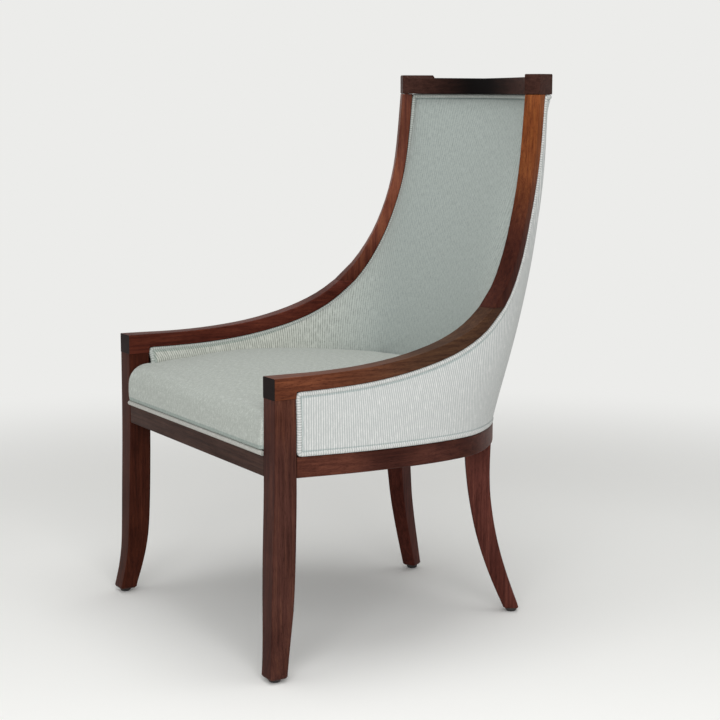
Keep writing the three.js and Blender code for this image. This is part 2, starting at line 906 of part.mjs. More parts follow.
// Columns of one part set back a little from a seam, so that the neighbours do not touch
function trimmed(columns, from, to) {
  const part = columns.slice(from, to + 1).map((column) => column.map((p) => p.clone()));
  const shift = (column, neighbour) => {
    column.forEach((p, i) => {
      const away = neighbour[i].clone().sub(p);
      p.addScaledVector(away.normalize(), fitGap / 2);
    });
  };
  if (from > 0) {
    shift(part[0], part[1]);
  }
  if (to < columns.length - 1) {
    shift(part[part.length - 1], part[part.length - 2]);
  }
  return part;
}

// Part of a layer between two columns, counted from the left front and from the right front
function shellPart(inside, outside, from, fromRight) {
  const to = inside.length - 1 - fromRight;
  return shellBetween(trimmed(inside, from, to), trimmed(outside, from, to));
}

// Piped welts

function tube(points, radius, stepsPerPoint) {
  const sides = 6;
  const steepShare = 0.8;
  const curve = smoothCurve(points);
  const across = new THREE.Vector3(0, 0, 1);
  const rings = steps((points.length - 1) * stepsPerPoint).map((place) => {
    const centre = curve.getPoint(place);
    const along = curve.getTangent(place);
    across.addScaledVector(along, -across.dot(along));
    if (across.length() < steepShare) {
      across.set(1, 0, 0).addScaledVector(along, -along.x);
    }
    across.normalize();
    const other = along.clone().cross(across);
    return steps(sides).slice(0, -1).map((part) => {
      const angle = part * 2 * Math.PI;
      return centre.clone()
        .addScaledVector(across, radius * Math.cos(angle))
        .addScaledVector(other, radius * Math.sin(angle));
    });
  });
  return loft(rings);
}

// Welt up the leg, under the arm and the stile and across under the crest rail
function rimWeltPath(side, foot) {
  const drop = weltRadius + weltGap;
  const inset = (side > 0 ? outsideWeltDepth : insideWeltDepth) / wrapThickness;
  const share = side > 0 ? 1 - inset : inset;
  const rim = rimOf(share, drop, weltRadius + softGap);
  const first = rim(0);
  const after = rim(weltPlaceShares[0]);
  const turn = turnOf(first);
  const upright = steps(3).map((part) => {
    const height = between(foot, first.z - weltCorner, part);
    const x = side > 0
      ? wrapPoint(1, turn, height).x - outsideWeltDepth
      : padPoint(turn, height).x + insideWeltDepth;
    return new THREE.Vector3(x, first.y, height);
  });
  const half = [
    ...upright,
    new THREE.Vector3(
      first.x,
      between(first.y, after.y, weltCornerShare),
      first.z - weltCorner * weltCornerShare,
    ),
  ];
  weltPlaceShares.forEach((place) => half.push(rim(place)));
  return bothSides(half);
}

const weltCornerShare = 0.25;
const weltPlaceShares = [
  0.007, 0.05, 0.1, 0.18, 0.26, 0.33, 0.39, 0.45, 0.51, 0.57,
  0.63, 0.67, 0.696, 0.703, 0.73, 0.77, 0.85, 0.92, 1,
];

// Welt on top of the seat rails, round the back from leg to leg
function footWeltPath() {
  const startBack = legDepth + weltRoom;
  const startTurn = Math.atan2(railFrontHalf, startBack - tubAxisBack);
  const turnCount = 12;
  const half = steps(turnCount).map((part) => {
    const { point, out } = planAt(railCurve, railPlaceAt(startTurn * (1 - part)));
    const edge = point.clone().addScaledVector(out, -outsideWeltDepth);
    edge.z = railTop + fitGap + weltRadius;
    return edge;
  });
  half[half.length - 1].setX(0);
  return bothSides(half);
}

// Seat

// Outline of the seat from its front middle round the left side to the rear middle
const seatFrontShares = [0, 0.33, 0.67];
const seatCornerShares = [0.6, 0.2];
const seatSideCount = 10;

function seatOutline() {
  const side = steps(seatSideCount).map((part) => {
    const place = part / 2;
    const point = seatLine.getPointAt(place);
    const tangent = seatLine.getTangentAt(place);
    const out = new THREE.Vector3(tangent.y, -tangent.x, 0);
    return { point: point.addScaledVector(out, -softGap), out, front: 0 };
  });
  side[side.length - 1].point.setX(0);
  const frontOut = new THREE.Vector3(0, -1, 0);
  const cornerOut = new THREE.Vector3(Math.SQRT1_2, -Math.SQRT1_2, 0);
  const sideOut = new THREE.Vector3(1, 0, 0);
  const half = [
    ...seatFrontShares.map((share) => (
      { point: new THREE.Vector3(seatFrontHalf * share, 0, 0), out: frontOut, front: 1 }
    )),
    { point: new THREE.Vector3(seatFrontHalf - sideRoll, 0, 0), out: frontOut, front: 1 },
    {
      point: new THREE.Vector3(seatFrontHalf, sideRoll / 2, 0),
      out: cornerOut,
      front: seatCornerShares[0],
    },
    {
      point: new THREE.Vector3(seatFrontHalf, legDepth - sideRoll, 0),
      out: sideOut,
      front: seatCornerShares[1],
    },
    ...side,
  ];
  const other = half.slice(1, -1).reverse().map(({ point, out, front }) => ({
    point: new THREE.Vector3(-point.x, point.y, 0),
    out: new THREE.Vector3(-out.x, out.y, 0),
    front,
  }));
  return [...half, ...other];
}

// Columns: height, bulge of the front and draw of the rolled edge
const seatSideShares = [
  [0, 0, 0.05],
  [0.12, 0.35, 0],
  [0.42, 1, 0],
  [0.66, 0.8, 0.04],
  [0.84, 0.2, 0.28],
  [0.95, 0, 0.62],
  [1, 0, 1],
];
const seatTopShares = [0.8, 0.55, 0.3, 0.1];

const weltTop = railTop + fitGap + 2 * weltRadius + softGap;

function makeSeat() {
  const outline = seatOutline();
  const centre = new THREE.Vector3(0, seatBack / 2, 0);
  const rings = seatSideShares.map(([height, bulge, draw]) => outline.map(({ point, out, front }) => {
    const top = between(seatEdgeHeight, seatFrontHeight, front);
    const roll = between(sideRoll, noseRadius, front);
    const place = point.clone().addScaledVector(out, noseBulge * bulge * front);
    if (front > 0 && front < 1) {
      place.x = Math.min(Math.abs(place.x), seatFrontHalf + softGap) * Math.sign(place.x);
    }
    place.addScaledVector(out, -roll * draw);
    place.z = between(between(seatFoot, weltTop, front), top, height);
    return place;
  }));
  const edge = rings[rings.length - 1];
  seatTopShares.forEach((share) => {
    rings.push(edge.map((p) => {
      const place = centre.clone().lerp(p, share);
      place.z = between(seatEdgeHeight + seatCrown, p.z, share * share);
      return place;
    }));
  });
  return loft(rings);
}

function frontSeatWelt() {
  const half = armInner - softGap;
  const level = railTop + fitGap + weltRadius;
  const points = [half, half / 2, 0, -half / 2, -half].map((x) => (
    new THREE.Vector3(x, weltRadius - noseBulge, level)
  ));
  return tube(points, weltRadius, 1);
}

// Straps under the seat, laid on the rails

function innerRailPoint(place, inset) {
  const { point, out } = planAt(railCurve, place);
  return point.clone().addScaledVector(out, -inset);
}

const strapSeat = railThickness - strapLap;

// Point of the line on the rails where the straps end, at a given spread or set back
function strapEndAcross(x) {
  const place = solvePlace(railJointPlace / 2, 1, (at) => innerRailPoint(at, strapSeat).x, x);
  return innerRailPoint(place, strapSeat);
}

function strapEndBack(back) {
  const place = solvePlace(0, railJointPlace, (at) => -innerRailPoint(at, strapSeat).y, -back);
  return innerRailPoint(place, strapSeat);
}

function makeStrap(across) {
  const rear = strapEndAcross(Math.abs(across) + strapWidth / 2);
  const front = frontRailThickness * strapFrontShare;
  return plate(
    new THREE.Vector3(strapWidth, rear.y - front, strapThickness),
    new THREE.Vector3(across, (rear.y + front) / 2, railTop + fitGap + strapThickness / 2),
  );
}

function makeCrossStrap(back) {
  const front = strapEndBack(back - strapWidth / 2);
  const rear = strapEndBack(back + strapWidth / 2);
  const half = Math.min(front.x, rear.x);
  return plate(
    new THREE.Vector3(2 * half, strapWidth, strapThickness),
    new THREE.Vector3(0, back, railTop + 2 * fitGap + strapThickness * 3 / 2),
  );
}

// Blocks, dowels, screws and glides

const blockChamferShare = 0.25;

function makeFrontBlock() {
  const rear = innerRailPoint(0, railThickness + fitGap);
  const farPlace = blockReach / railCurve.getLength();
  const far = innerRailPoint(farPlace, railThickness + fitGap);
  const outline = [
    new THREE.Vector3(armInner - fitGap, frontRailThickness + fitGap, 0),
    new THREE.Vector3(Math.min(armInner - fitGap, rear.x), rear.y, 0),
    far,
    new THREE.Vector3(far.x - blockReach * blockChamferShare, far.y, 0),
    new THREE.Vector3(armInner - blockReach, frontRailThickness + blockReach * blockChamferShare, 0),
    new THREE.Vector3(armInner - blockReach, frontRailThickness + fitGap, 0),
  ];
  return slab(outline, railTop - blockHeight - fitGap, blockHeight);
}

function makeRearBlock() {
  const bottom = railTop - blockHeight - fitGap;
  const places = [...sidePlaces.slice(-2), ...rearPlaces.slice(0, 2)];
  return loft(places.map((place) => {
    const { point, out } = planAt(railCurve, place);
    const near = -railThickness - fitGap;
    return easedSection(near - blockThickness, near, bottom, bottom + blockHeight, arris)
      .map(([side, height]) => (
        new THREE.Vector3(point.x + out.x * side, point.y + out.y * side, height)
      ));
  }));
}

function peg(centre, direction, radius) {
  const along = direction.clone().normalize().multiplyScalar(dowelReach);
  const start = centre.clone().sub(along);
  const end = centre.clone().add(along);
  const spare = along.clone().normalize().multiplyScalar(fitGap);
  return {
    body: rod(start, end, radius),
    hole: rod(start.clone().sub(spare), end.clone().add(spare), radius + fitGap),
  };
}

function screw(head, direction) {
  const profile = [
    [0, 0],
    [screwHeadRadius, 0],
    [screwHeadRadius, screwHeadHeight],
    [screwRadius, screwHeadHeight * 2],
    [screwRadius, screwHeadHeight + blockThickness + screwReach],
    [0, screwHeadHeight + blockThickness + screwReach],
  ];
  const wide = profile.map(([r, h]) => [r > 0 ? r + fitGap : 0, h > 0 ? h + fitGap : -blockReach]);
  return { body: turned(profile, head, direction), hole: turned(wide, head, direction) };
}

const legMiddle = new THREE.Vector3((armInner + armOuter) / 2, legDepth / 2, legTop + fitGap / 2);
const upward = new THREE.Vector3(0, 0, 1);
const armPeg = peg(legMiddle, upward, armDowelRadius);
const splice = sweepCentre(splicePlace);
const splicePeg = peg(splice.centre, splice.along, dowelRadius);
const stileEnd = sweepCentre(1);
const crestPeg = peg(stileEnd.centre, stileEnd.along, dowelRadius);
const railMiddle = (railTop + railBottom) / 2;
const sideDowelShare = 0.66;
const screwShare = 0.31;
const sideDowelHeight = between(railBottom, railTop, sideDowelShare);
const screwHeight = between(railBottom, railTop, screwShare);
const frontRailPeg = peg(
  new THREE.Vector3(armInner - fitGap / 2, frontRailThickness / 2, railMiddle),
  new THREE.Vector3(1, 0, 0),
  dowelRadius,
);
const sideRailPeg = peg(
  new THREE.Vector3(railFrontHalf - railThickness / 2, legDepth + fitGap / 2, sideDowelHeight),
  new THREE.Vector3(0, 1, 0),
  dowelRadius,
);
const rearLegPeg = peg(ringMiddle(rearLegRing(0)), upward, armDowelRadius);

const screwBack = (frontRailThickness + legDepth) / 2;
const frontScrew = screw(
  new THREE.Vector3(armInner - blockThickness - screwHeadHeight, screwBack, screwHeight),
  new THREE.Vector3(1, 0, 0),
);
const rearScrewPlace = (rearPlaces[0] + rearPlaces[1]) / 2;
const rearScrewOut = planAt(railCurve, rearScrewPlace).out;
const rearScrewHead = innerRailPoint(rearScrewPlace, railThickness + blockThickness);
rearScrewHead.z = railMiddle;
const rearScrew = screw(rearScrewHead, rearScrewOut);

// Radius and height of the rounded edge of a glide
const glideProfileShares = [[0.55, 0], [0.8, 0.13], [0.95, 0.38], [1, 0.7]];

function glide(ring) {
  const foot = ringMiddle(ring);
  foot.z = 0;
  const profile = [
    [0, 0],
    ...glideProfileShares.map(([across, height]) => [glideRadius * across, glideHeight * height]),
    [glideRadius, glideHeight - fitGap],
    [glidePinRadius, glideHeight - fitGap],
    [glidePinRadius, glideHeight + glidePinLength],
    [0, glideHeight + glidePinLength],
  ];
  const hole = rod(
    new THREE.Vector3(foot.x, foot.y, glideHeight - cutOverrun),
    new THREE.Vector3(foot.x, foot.y, glideHeight + glidePinLength + fitGap),
    glidePinRadius + fitGap,
  );
  return { body: turned(profile, foot, upward), hole };
}

const frontGlide = glide(frontLegRing(1));
const rearGlide = glide(rearLegRing(1));

// Dust cover under the rails, notched round the rear legs
const dustCoverShare = 0.7;
const dustCoverEndShare = 0.004;

function makeDustCover() {
  const coverInset = railThickness * dustCoverShare;
  const coverSteps = 24;
  const outline = steps(coverSteps).map((place) => {
    const trimmedPlace = between(dustCoverEndShare, 1 - dustCoverEndShare, place);
    return innerRailPoint(trimmedPlace, coverInset);
  });
  const front = frontRailThickness / 2;
  const half = armInner - fitGap;
  outline.push(
    new THREE.Vector3(-half, legDepth, 0),
    new THREE.Vector3(-half, front, 0),
    new THREE.Vector3(half, front, 0),
    new THREE.Vector3(half, legDepth, 0),
  );
  const bottom = railBottom - fitGap - dustCoverThickness;
  const cutter = loft([railBottom + cutOverrun, bottom - cutOverrun].map((height) => (
    rearLegRing(0).map((p, i, ring) => {
      const away = p.clone().sub(ringMiddle(ring));
      const place = p.clone().addScaledVector(away.normalize(), dustCoverNotchGap);
      return place.setZ(height);
    })
  )));
  return carved(slab(outline, bottom, dustCoverThickness), [cutter, mirrored(cutter)]);
}

const sides = (hole) => [hole, mirrored(hole)];

addPair('front_leg', carved(makeFrontLeg(), [
  armPeg.hole, frontRailPeg.hole, sideRailPeg.hole, frontScrew.hole, frontGlide.hole,
]), mahogany);
addPair('rear_leg', carved(makeRearLeg(), [rearLegPeg.hole, rearGlide.hole]), mahogany);
addPair('arm', carved(makeArm(), [armPeg.hole, splicePeg.hole]), mahogany);
addPair('stile', carved(makeStile(), [splicePeg.hole, crestPeg.hole]), mahogany);
addPiece('crest_rail', carved(makeCrest(), sides(crestPeg.hole)), darkMahogany);
addPiece('front_rail', carved(makeFrontRail(), sides(frontRailPeg.hole)), mahogany);
addPair('side_rail', carved(makeSideRail(), [sideRailPeg.hole]), mahogany);
addPiece('rear_rail', carved(makeRearRail(), [
  ...sides(rearLegPeg.hole), ...sides(rearScrew.hole),
]), mahogany);
addPair('arm_dowel', armPeg.body, beech);
addPair('stile_dowel', splicePeg.body, beech);
addPair('crest_dowel', crestPeg.body, beech);
addPair('front_rail_dowel', frontRailPeg.body, beech);
addPair('side_rail_dowel', sideRailPeg.body, beech);
addPair('rear_leg_dowel', rearLegPeg.body, beech);
addPair('front_block', carved(makeFrontBlock(), [frontScrew.hole]), beech);
addPair('rear_block', carved(makeRearBlock(), [rearScrew.hole]), beech);
addPair('front_block_screw', frontScrew.body, steel);
addPair('rear_block_screw', rearScrew.body, steel);
addPair('front_glide', frontGlide.body, nylon);
addPair('rear_glide', rearGlide.body, nylon);

// The boards and the outside covers are joined behind the stiles, the inside pad is one piece
const boardSeam = boardLayout.placeShares.length + 1;
const boardEnd = boardInside.length - 1;
const coverSeam = softLayout.placeShares.length + 2;
const coverEnd = coverInside.length - 1;
addPair('side_board', shellPart(boardInside, boardOutside, 0, boardEnd - boardSeam), poplar);
addPiece('back_board', shellPart(boardInside, boardOutside, boardSeam, boardSeam), poplar);
addPiece('inside_pad', shellPart(padInside, padOutside, 0, 0), sageFabric);
addPair('outside_cover', shellPart(coverInside, coverOutside, 0, coverEnd - coverSeam), paleFabric);
addPiece('outside_back_cover', shellPart(coverInside, coverOutside, coverSeam, coverSeam), paleFabric);
addPiece('inside_welt', tube(rimWeltPath(-1, seatFoot), weltRadius, 2), sageFabric);
const outsideWeltFoot = railTop + fitGap;
addPiece('outside_welt', tube(rimWeltPath(1, outsideWeltFoot), weltRadius, 2), paleFabric);
addPiece('rail_welt', tube(footWeltPath(), weltRadius, 2), paleFabric);
addPiece('seat_cushion', makeSeat(), sageFabric);
addPiece('seat_welt', frontSeatWelt(), paleFabric);

for (let i = 0; i < strapCount; i += 1) {
  addPiece(`long_strap_${i + 1}`, makeStrap((i - (strapCount - 1) / 2) * strapPitch), jute);
  addPiece(`cross_strap_${i + 1}`, makeCrossStrap(crossStrapFront + i * strapPitch), jute);
}
addPiece('dust_cover', makeDustCover(), blackCloth);

// The origin is under the middle of the chair, on the floor
const box = new THREE.Box3().setFromObject(chair);
const middle = box.getCenter(new THREE.Vector3());
chair.position.set(-middle.x, -middle.y, -box.min.z);

export default chair;
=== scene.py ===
import math

import bpy
import numpy as np
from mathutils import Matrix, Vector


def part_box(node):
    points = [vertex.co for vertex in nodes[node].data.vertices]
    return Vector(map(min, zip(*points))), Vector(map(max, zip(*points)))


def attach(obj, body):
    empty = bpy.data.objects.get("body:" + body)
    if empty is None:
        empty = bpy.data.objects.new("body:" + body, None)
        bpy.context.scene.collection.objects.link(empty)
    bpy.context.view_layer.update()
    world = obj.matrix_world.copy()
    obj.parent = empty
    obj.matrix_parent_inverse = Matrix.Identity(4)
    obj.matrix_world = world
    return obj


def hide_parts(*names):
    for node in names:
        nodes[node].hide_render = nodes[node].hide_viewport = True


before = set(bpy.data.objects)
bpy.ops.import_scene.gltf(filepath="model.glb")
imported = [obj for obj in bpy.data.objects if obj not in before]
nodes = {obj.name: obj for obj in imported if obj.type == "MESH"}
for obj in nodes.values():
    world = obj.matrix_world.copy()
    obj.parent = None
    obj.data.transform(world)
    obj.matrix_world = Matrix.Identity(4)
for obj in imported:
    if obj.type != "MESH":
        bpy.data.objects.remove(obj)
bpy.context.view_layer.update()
print("frame loaded,", len(nodes), "nodes")


# Small helpers

evening = {
    "step": 0.001,            # between the points of an evened line
    "rounds": 2,
}


def mix(low, high, share):
    return low + (high - low) * share


def smooth(value, low, high):
    # 3t^2 - 2t^3 of the value's share between low and high
    t = np.clip((value - low) / (high - low), 0, 1)
    return t * t * (3 - 2 * t)


def unit(vectors):
    return vectors / np.linalg.norm(vectors, axis=-1, keepdims=True)


def lengths(points):
    # distance along a line of points, from its first point
    return np.cumsum(np.linalg.norm(np.diff(points, axis=0, prepend=points[:1]), axis=1))


def resampled(points, count):
    # the same line with its points evenly spaced
    along = lengths(points)
    places = np.linspace(0, along[-1], count)
    return np.stack([np.interp(places, along, points[:, k]) for k in range(3)], 1)


def evened(points, reach, closed=False):
    # each point becomes the mean of the line within reach, which rounds corners
    if closed:
        points = np.concatenate([points, points[:1]])
    line = resampled(points, int(lengths(points)[-1] / evening["step"]) + 2)
    if closed:
        line = line[:-1]
    half = max(1, int(reach / evening["step"]))
    kernel = np.ones(2 * half + 1) / (2 * half + 1)
    for _ in range(evening["rounds"]):
        start = line[-half:] if closed else 2 * line[0] - line[half:0:-1]
        end = line[:half] if closed else 2 * line[-1] - line[-2:-2 - half:-1]
        longer = np.concatenate([start, line, end])
        line = np.stack([np.convolve(longer[:, k], kernel, "valid") for k in range(3)], 1)
    return line


def bothSides(half):
    # a line from the sitter's left to the middle, then its mirror image
    other = half[-2::-1] * [-1, 1, 1]
    return np.concatenate([half, other])


def cubicRows(rows, places):
    # cubic through evenly spaced rows, whose slope at a row is half the step between its neighbours
    table = np.array(rows, float)
    last = len(table) - 1
    span = np.clip(places, 0, 1) * last
    row = np.minimum(span.astype(int), last - 1)
    part = (span - row)[:, None]
    before, here, after, beyond = (table[np.clip(row + k, 0, last)] for k in (-1, 0, 1, 2))
    square, cube = part ** 2, part ** 3
    return (here + (after - here) * (3 * square - 2 * cube)
            + (after - before) / 2 * (cube - 2 * square + part)
            + (beyond - here) / 2 * (cube - square))


def smoothLine(points, stepsPerSpan=40):
    # cubic through points with knots at the square root of their distance, as a dense line
    p = np.array(points, float)
    p = np.concatenate([[2 * p[0] - p[1]], p, [2 * p[-1] - p[-2]]])
    gap = np.sqrt(np.linalg.norm(np.diff(p, axis=0), axis=1))[:, None]
    a, b, c, d = p[:-3], p[1:-2], p[2:-1], p[3:]
    before, here, after = gap[:-2], gap[1:-1], gap[2:]
    slopeIn = ((b - a) / before - (c - a) / (before + here)) * here + (c - b)
    slopeOut = (c - b) - ((d - b) / (here + after) - (d - c) / after) * here
    t = np.linspace(0, 1, stepsPerSpan, endpoint=False)[None, :, None]
    curve = (b[:, None] + slopeIn[:, None] * t
             + (3 * (c - b) - 2 * slopeIn - slopeOut)[:, None] * t ** 2
             + (2 * (b - c) + slopeIn + slopeOut)[:, None] * t ** 3)
    return np.concatenate([curve.reshape(-1, 3), p[-2:-1]])


def linear(hexColour):
    # sRGB value c to linear light: c / 12.92 when small, else ((c + 0.055) / 1.055) ^ 2.4
    c = np.array([int(hexColour[i:i + 2], 16) / 255 for i in (1, 3, 5)])
    light = np.where(c <= 0.04045, c / 12.92, ((c + 0.055) / 1.055) ** 2.4)
    return (*light.tolist(), 1.0)


# Meshes from whole arrays

def newObject(name, data):
    made = bpy.data.objects.new(name, data)
    bpy.context.scene.collection.objects.link(made)
    return made


def newPiece(name, points, faces, cornerUv=None):
    mesh = bpy.data.meshes.new(name)
    mesh.from_pydata(points.tolist(), [], faces)
    mesh.polygons.foreach_set("use_smooth", np.ones(len(mesh.polygons), bool))
    if cornerUv is not None:
        layer = mesh.uv_layers.new(name="cloth")
        layer.data.foreach_set("uv", cornerUv.astype(np.float32).ravel())
    mesh.update()
    return newObject(name, mesh)


def atCorners(grid):
    # what a grid holds at the four corners of each of its cells
    return np.stack([grid[:-1, :-1], grid[:-1, 1:], grid[1:, 1:], grid[1:, :-1]], 2)


def shellPiece(name, face, back, border, uv, material):
    # closed shell of two equal grids, joined along their four edges
    rows, columns = face.shape[:2]
    count = rows * columns
    index = np.arange(count).reshape(rows, columns)
    rim = np.concatenate([index[0, :], index[1:, -1], index[-1, -2::-1], index[-2:0:-1, 0]])
    after = np.roll(rim, -1)
    walls = np.stack([after, rim, rim + count, after + count], 1)
    cells = atCorners(index).reshape(-1, 4)
    quads = np.concatenate([cells, (cells + count)[:, ::-1], walls])
    points = np.concatenate([face.reshape(-1, 3), back.reshape(-1, 3)])
    flatUv = np.concatenate([uv.reshape(-1, 2)] * 2)
    piece = newPiece(name, points, quads.tolist(), flatUv[quads.ravel()])
    measured(piece, np.concatenate([border.ravel()] * 2))
    return dressed(piece, material)


def dressed(piece, material):
    piece.data.materials.append(material)
    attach(piece, "root")
    return piece


def gridNormals(grid, facing):
    # cross product of the grid's two directions, turned so that the panel's middle faces the rear
    # with 1 and the front with -1
    down, across = np.gradient(grid, axis=(0, 1))
    normals = unit(np.cross(across, down))
    middle = normals[len(grid) // 2, grid.shape[1] // 2, 1]
    return normals * facing * np.sign(middle)


def relaxed(grid, rounds):
    # stretched cloth: each inner point moves half way to the mean of its four neighbours
    for _ in range(rounds):
        middle = (grid[:-2, 1:-1] + grid[2:, 1:-1] + grid[1:-1, :-2] + grid[1:-1, 2:]) / 4
        grid[1:-1, 1:-1] += (middle - grid[1:-1, 1:-1]) / 2
    return grid


def edgeDistance(grid):
    # distance along the rows and columns to the grid's nearest edge
    along = np.cumsum(np.linalg.norm(np.diff(grid, axis=1, prepend=grid[:, :1]), axis=2), axis=1)
    up = np.cumsum(np.linalg.norm(np.diff(grid, axis=0, prepend=grid[:1]), axis=2), axis=0)
    return np.minimum.reduce([along, along[:, -1:] - along, up, up[-1:] - up])


def rolledBack(grid, normals, depth, reach):
    # the face falls back towards its edges along a quarter of an ellipse
    near = np.clip(1 - edgeDistance(grid) / reach, 0, 1)
    return grid - normals * (depth * (1 - np.sqrt(1 - near ** 2)))[..., None]


def clothUv(grid, line):
    # across: distance from the middle along the foot line, at the same turn; up: height
    run = lengths(line)
    return np.stack([atTurn(line, run, turnOf(grid)) - run[-1] / 2, grid[..., 2]], 2)


def measured(piece, distances):
    # each point's distance from the seam round its panel, for the painted shade in the crease beside
    # it
    layer = piece.data.attributes.new("fromSeam", "FLOAT", "POINT")
    layer.data.foreach_set("value", distances.astype(np.float32).ravel())


def cordPiece(name, path, material, closed=False):
    # circle carried along the path: centre + radius (cos a, sin a) square to the path
    radius, sides, count = welt["radius"], welt["sides"], len(path)
    along = unit(np.gradient(path, axis=0))
    if closed:
        along = unit(np.roll(path, -1, axis=0) - np.roll(path, 1, axis=0))
    outward = path - [0, tub["axis"], 0]
    outward[:, 2] = 0
    side = unit(outward - along * np.sum(outward * along, axis=1)[:, None])
    over = np.cross(along, side)
    angle = np.linspace(0, 2 * np.pi, sides, endpoint=False)[None, :, None]
    rings = path[:, None] + radius * (np.cos(angle) * side[:, None] + np.sin(angle) * over[:, None])
    index = np.arange(count * sides).reshape(count, sides)
    index = np.concatenate([index, index[:, :1]], 1)
    if closed:
        index = np.concatenate([index, index[:1]])
    # u is the length along the path and v the way round the cord
    run = lengths(np.concatenate([path, path[:1]]))[:len(index)]
    turns = np.arange(sides + 1) * (2 * np.pi * radius / sides)
    cornerUv = atCorners(np.stack(np.meshgrid(run, turns, indexing="ij"), 2)).reshape(-1, 2)
    faces = atCorners(index).reshape(-1, 4).tolist()
    if not closed:
        faces += [list(range(sides))[::-1], list(range((count - 1) * sides, count * sides))]
        cornerUv = np.concatenate([cornerUv, np.zeros((2 * sides, 2))])
    piece = newPiece(name, rings.reshape(-1, 3), faces, cornerUv)
    return dressed(piece, material)


# Cloth under pressure

clothFrames = 20
clothReach = 0.003            # no point moves further than this
clothSettings = {
    "quality": 6,
    "mass": 0.3,
    "tension_stiffness": 25.0,
    "compression_stiffness": 25.0,
    "use_pressure": True,
    "uniform_pressure_force": 4.0,
    "vertex_group_mass": "held",
}


def pointsOf(mesh):
    flat = np.zeros(len(mesh.vertices) * 3)
    mesh.vertices.foreach_get("co", flat)
    return flat


def settled(piece, held):
    # cloth with air pressure inside: held points stay, the others swell until the cloth is taut,
    # then one subdivision rounds the result
    mesh = piece.data
    start = pointsOf(mesh)
    group = piece.vertex_groups.new(name="held")
    group.add(np.flatnonzero(held).tolist(), 1.0, "REPLACE")
    sim = piece.modifiers.new("sim", "CLOTH")
    for key, value in clothSettings.items():
        setattr(sim.settings, key, value)
    sim.settings.effector_weights.gravity = 0
    sim.point_cache.frame_start = 1
    sim.point_cache.frame_end = clothFrames
    for step in range(1, clothFrames + 1):
        bpy.context.scene.frame_set(step)
    swollen = piece.evaluated_get(bpy.context.evaluated_depsgraph_get()).data
    moved = (pointsOf(swollen) - start).reshape(-1, 3)
    size = np.linalg.norm(moved, axis=1, keepdims=True)
    # beyond the reach the move is shortened: reach x tanh(size / reach)
    shorter = clothReach * np.tanh(size / clothReach) / np.maximum(size, 1e-9)
    piece.modifiers.remove(sim)
    piece.vertex_groups.remove(group)
    mesh.vertices.foreach_set("co", start + (moved * shorter).ravel())
    mesh.update()
    bpy.context.scene.frame_set(1)
    print(piece.name, "swelled by up to", round(float(size.max()) * 1000, 1), "mm")
    rounding = piece.modifiers.new("rounding", "SUBSURF")
    rounding.levels = 1
    rounded = piece.evaluated_get(bpy.context.evaluated_depsgraph_get())
    finer = bpy.data.meshes.new_from_object(rounded)
    piece.modifiers.remove(rounding)
    piece.data = finer
    finer.name = piece.name
    bpy.data.meshes.remove(mesh)


# Node trees

times = {"operation": "MULTIPLY"}
timesPlus = {"operation": "MULTIPLY_ADD"}
minus = {"operation": "SUBTRACT"}
absolute = {"operation": "ABSOLUTE"}
smoothRange = {"interpolation_type": "SMOOTHSTEP"}


def feed(tree, node, inputs):
    # each input gets a value, the socket that feeds it or the node whose first output does
    for name, value in inputs.items():
        if isinstance(value, bpy.types.Node):
            value = value.outputs[0]
        if isinstance(value, bpy.types.NodeSocket):
            tree.links.new(value, node.inputs[name])
        else:
            node.inputs[name].default_value = value


def addNode(tree, kind, settings=None, inputs=None, stops=()):
    # settings are the node's own, and stops are the places and colours of a ramp
    node = tree.nodes.new(kind)
    for name, value in (settings or {}).items():
        setattr(node, name, value)
    feed(tree, node, inputs or {})
    for number, (place, colour) in enumerate(stops):
        elements = node.color_ramp.elements
        element = elements[number] if number < len(elements) else elements.new(place)
        element.position = place
        element.color = linear(colour)
    return node


def newMaterial(name):
    material = bpy.data.materials.new(name)
    material.use_nodes = True
    return material, material.node_tree


def finished(material, colour, height, depth, strength, surface, under=None):
    # colour, relief of the given depth over any under it, and the surface's other values
    tree = material.node_tree
    bump = addNode(tree, "ShaderNodeBump", inputs={
        "Height": height, "Distance": depth, "Strength": strength, **(under or {})})
    feed(tree, tree.nodes["Principled BSDF"], {"Base Color": colour, "Normal": bump, **surface})
    return material


def patches(tree, place, sizes, detail, roughness=0.6, distortion=0.0, offset=(0, 0, 0)):
    # noise in patches of the given sizes along the three axes, metres: place / size + offset
    spread = addNode(tree, "ShaderNodeMapping", inputs={
        "Vector": place, "Scale": [1 / size for size in sizes], "Location": offset})
    return addNode(tree, "ShaderNodeTexNoise", inputs={
        "Vector": spread, "Scale": 1.0, "Detail": detail,
        "Roughness": roughness, "Distortion": distortion})


def shaded(tree, colour, measure, shade, low=0, high=1, end="#ffffff", share=1.0):
    # the colour times a shade that becomes the end shade as the measure goes from low to high
    ramp = addNode(tree, "ShaderNodeValToRGB", inputs={"Fac": measure}, stops=[
        (low, shade), (high, end)])
    return addNode(tree, "ShaderNodeMix", {"data_type": "RGBA", "blend_type": "MULTIPLY"}, {
        "Factor": share, 6: colour, 7: ramp}).outputs[2]


def shadedAlong(tree, place, colour, axis, start, end, shade, away=False):
    # the colour times a shade that fades out from start to end along an axis, or away from its zero
    measure = addNode(tree, "ShaderNodeSeparateXYZ", inputs={"Vector": place}).outputs[axis]
    if away:
        measure = addNode(tree, "ShaderNodeMath", absolute, {0: measure})
    part = addNode(tree, "ShaderNodeMapRange", smoothRange, {
        "Value": measure, "From Min": start, "From Max": end})
    return shaded(tree, colour, part, shade)


def waveScale(pitch):
    # a wave texture repeats every 2 pi / 20 of its scale
    return 2 * math.pi / 20 / pitch


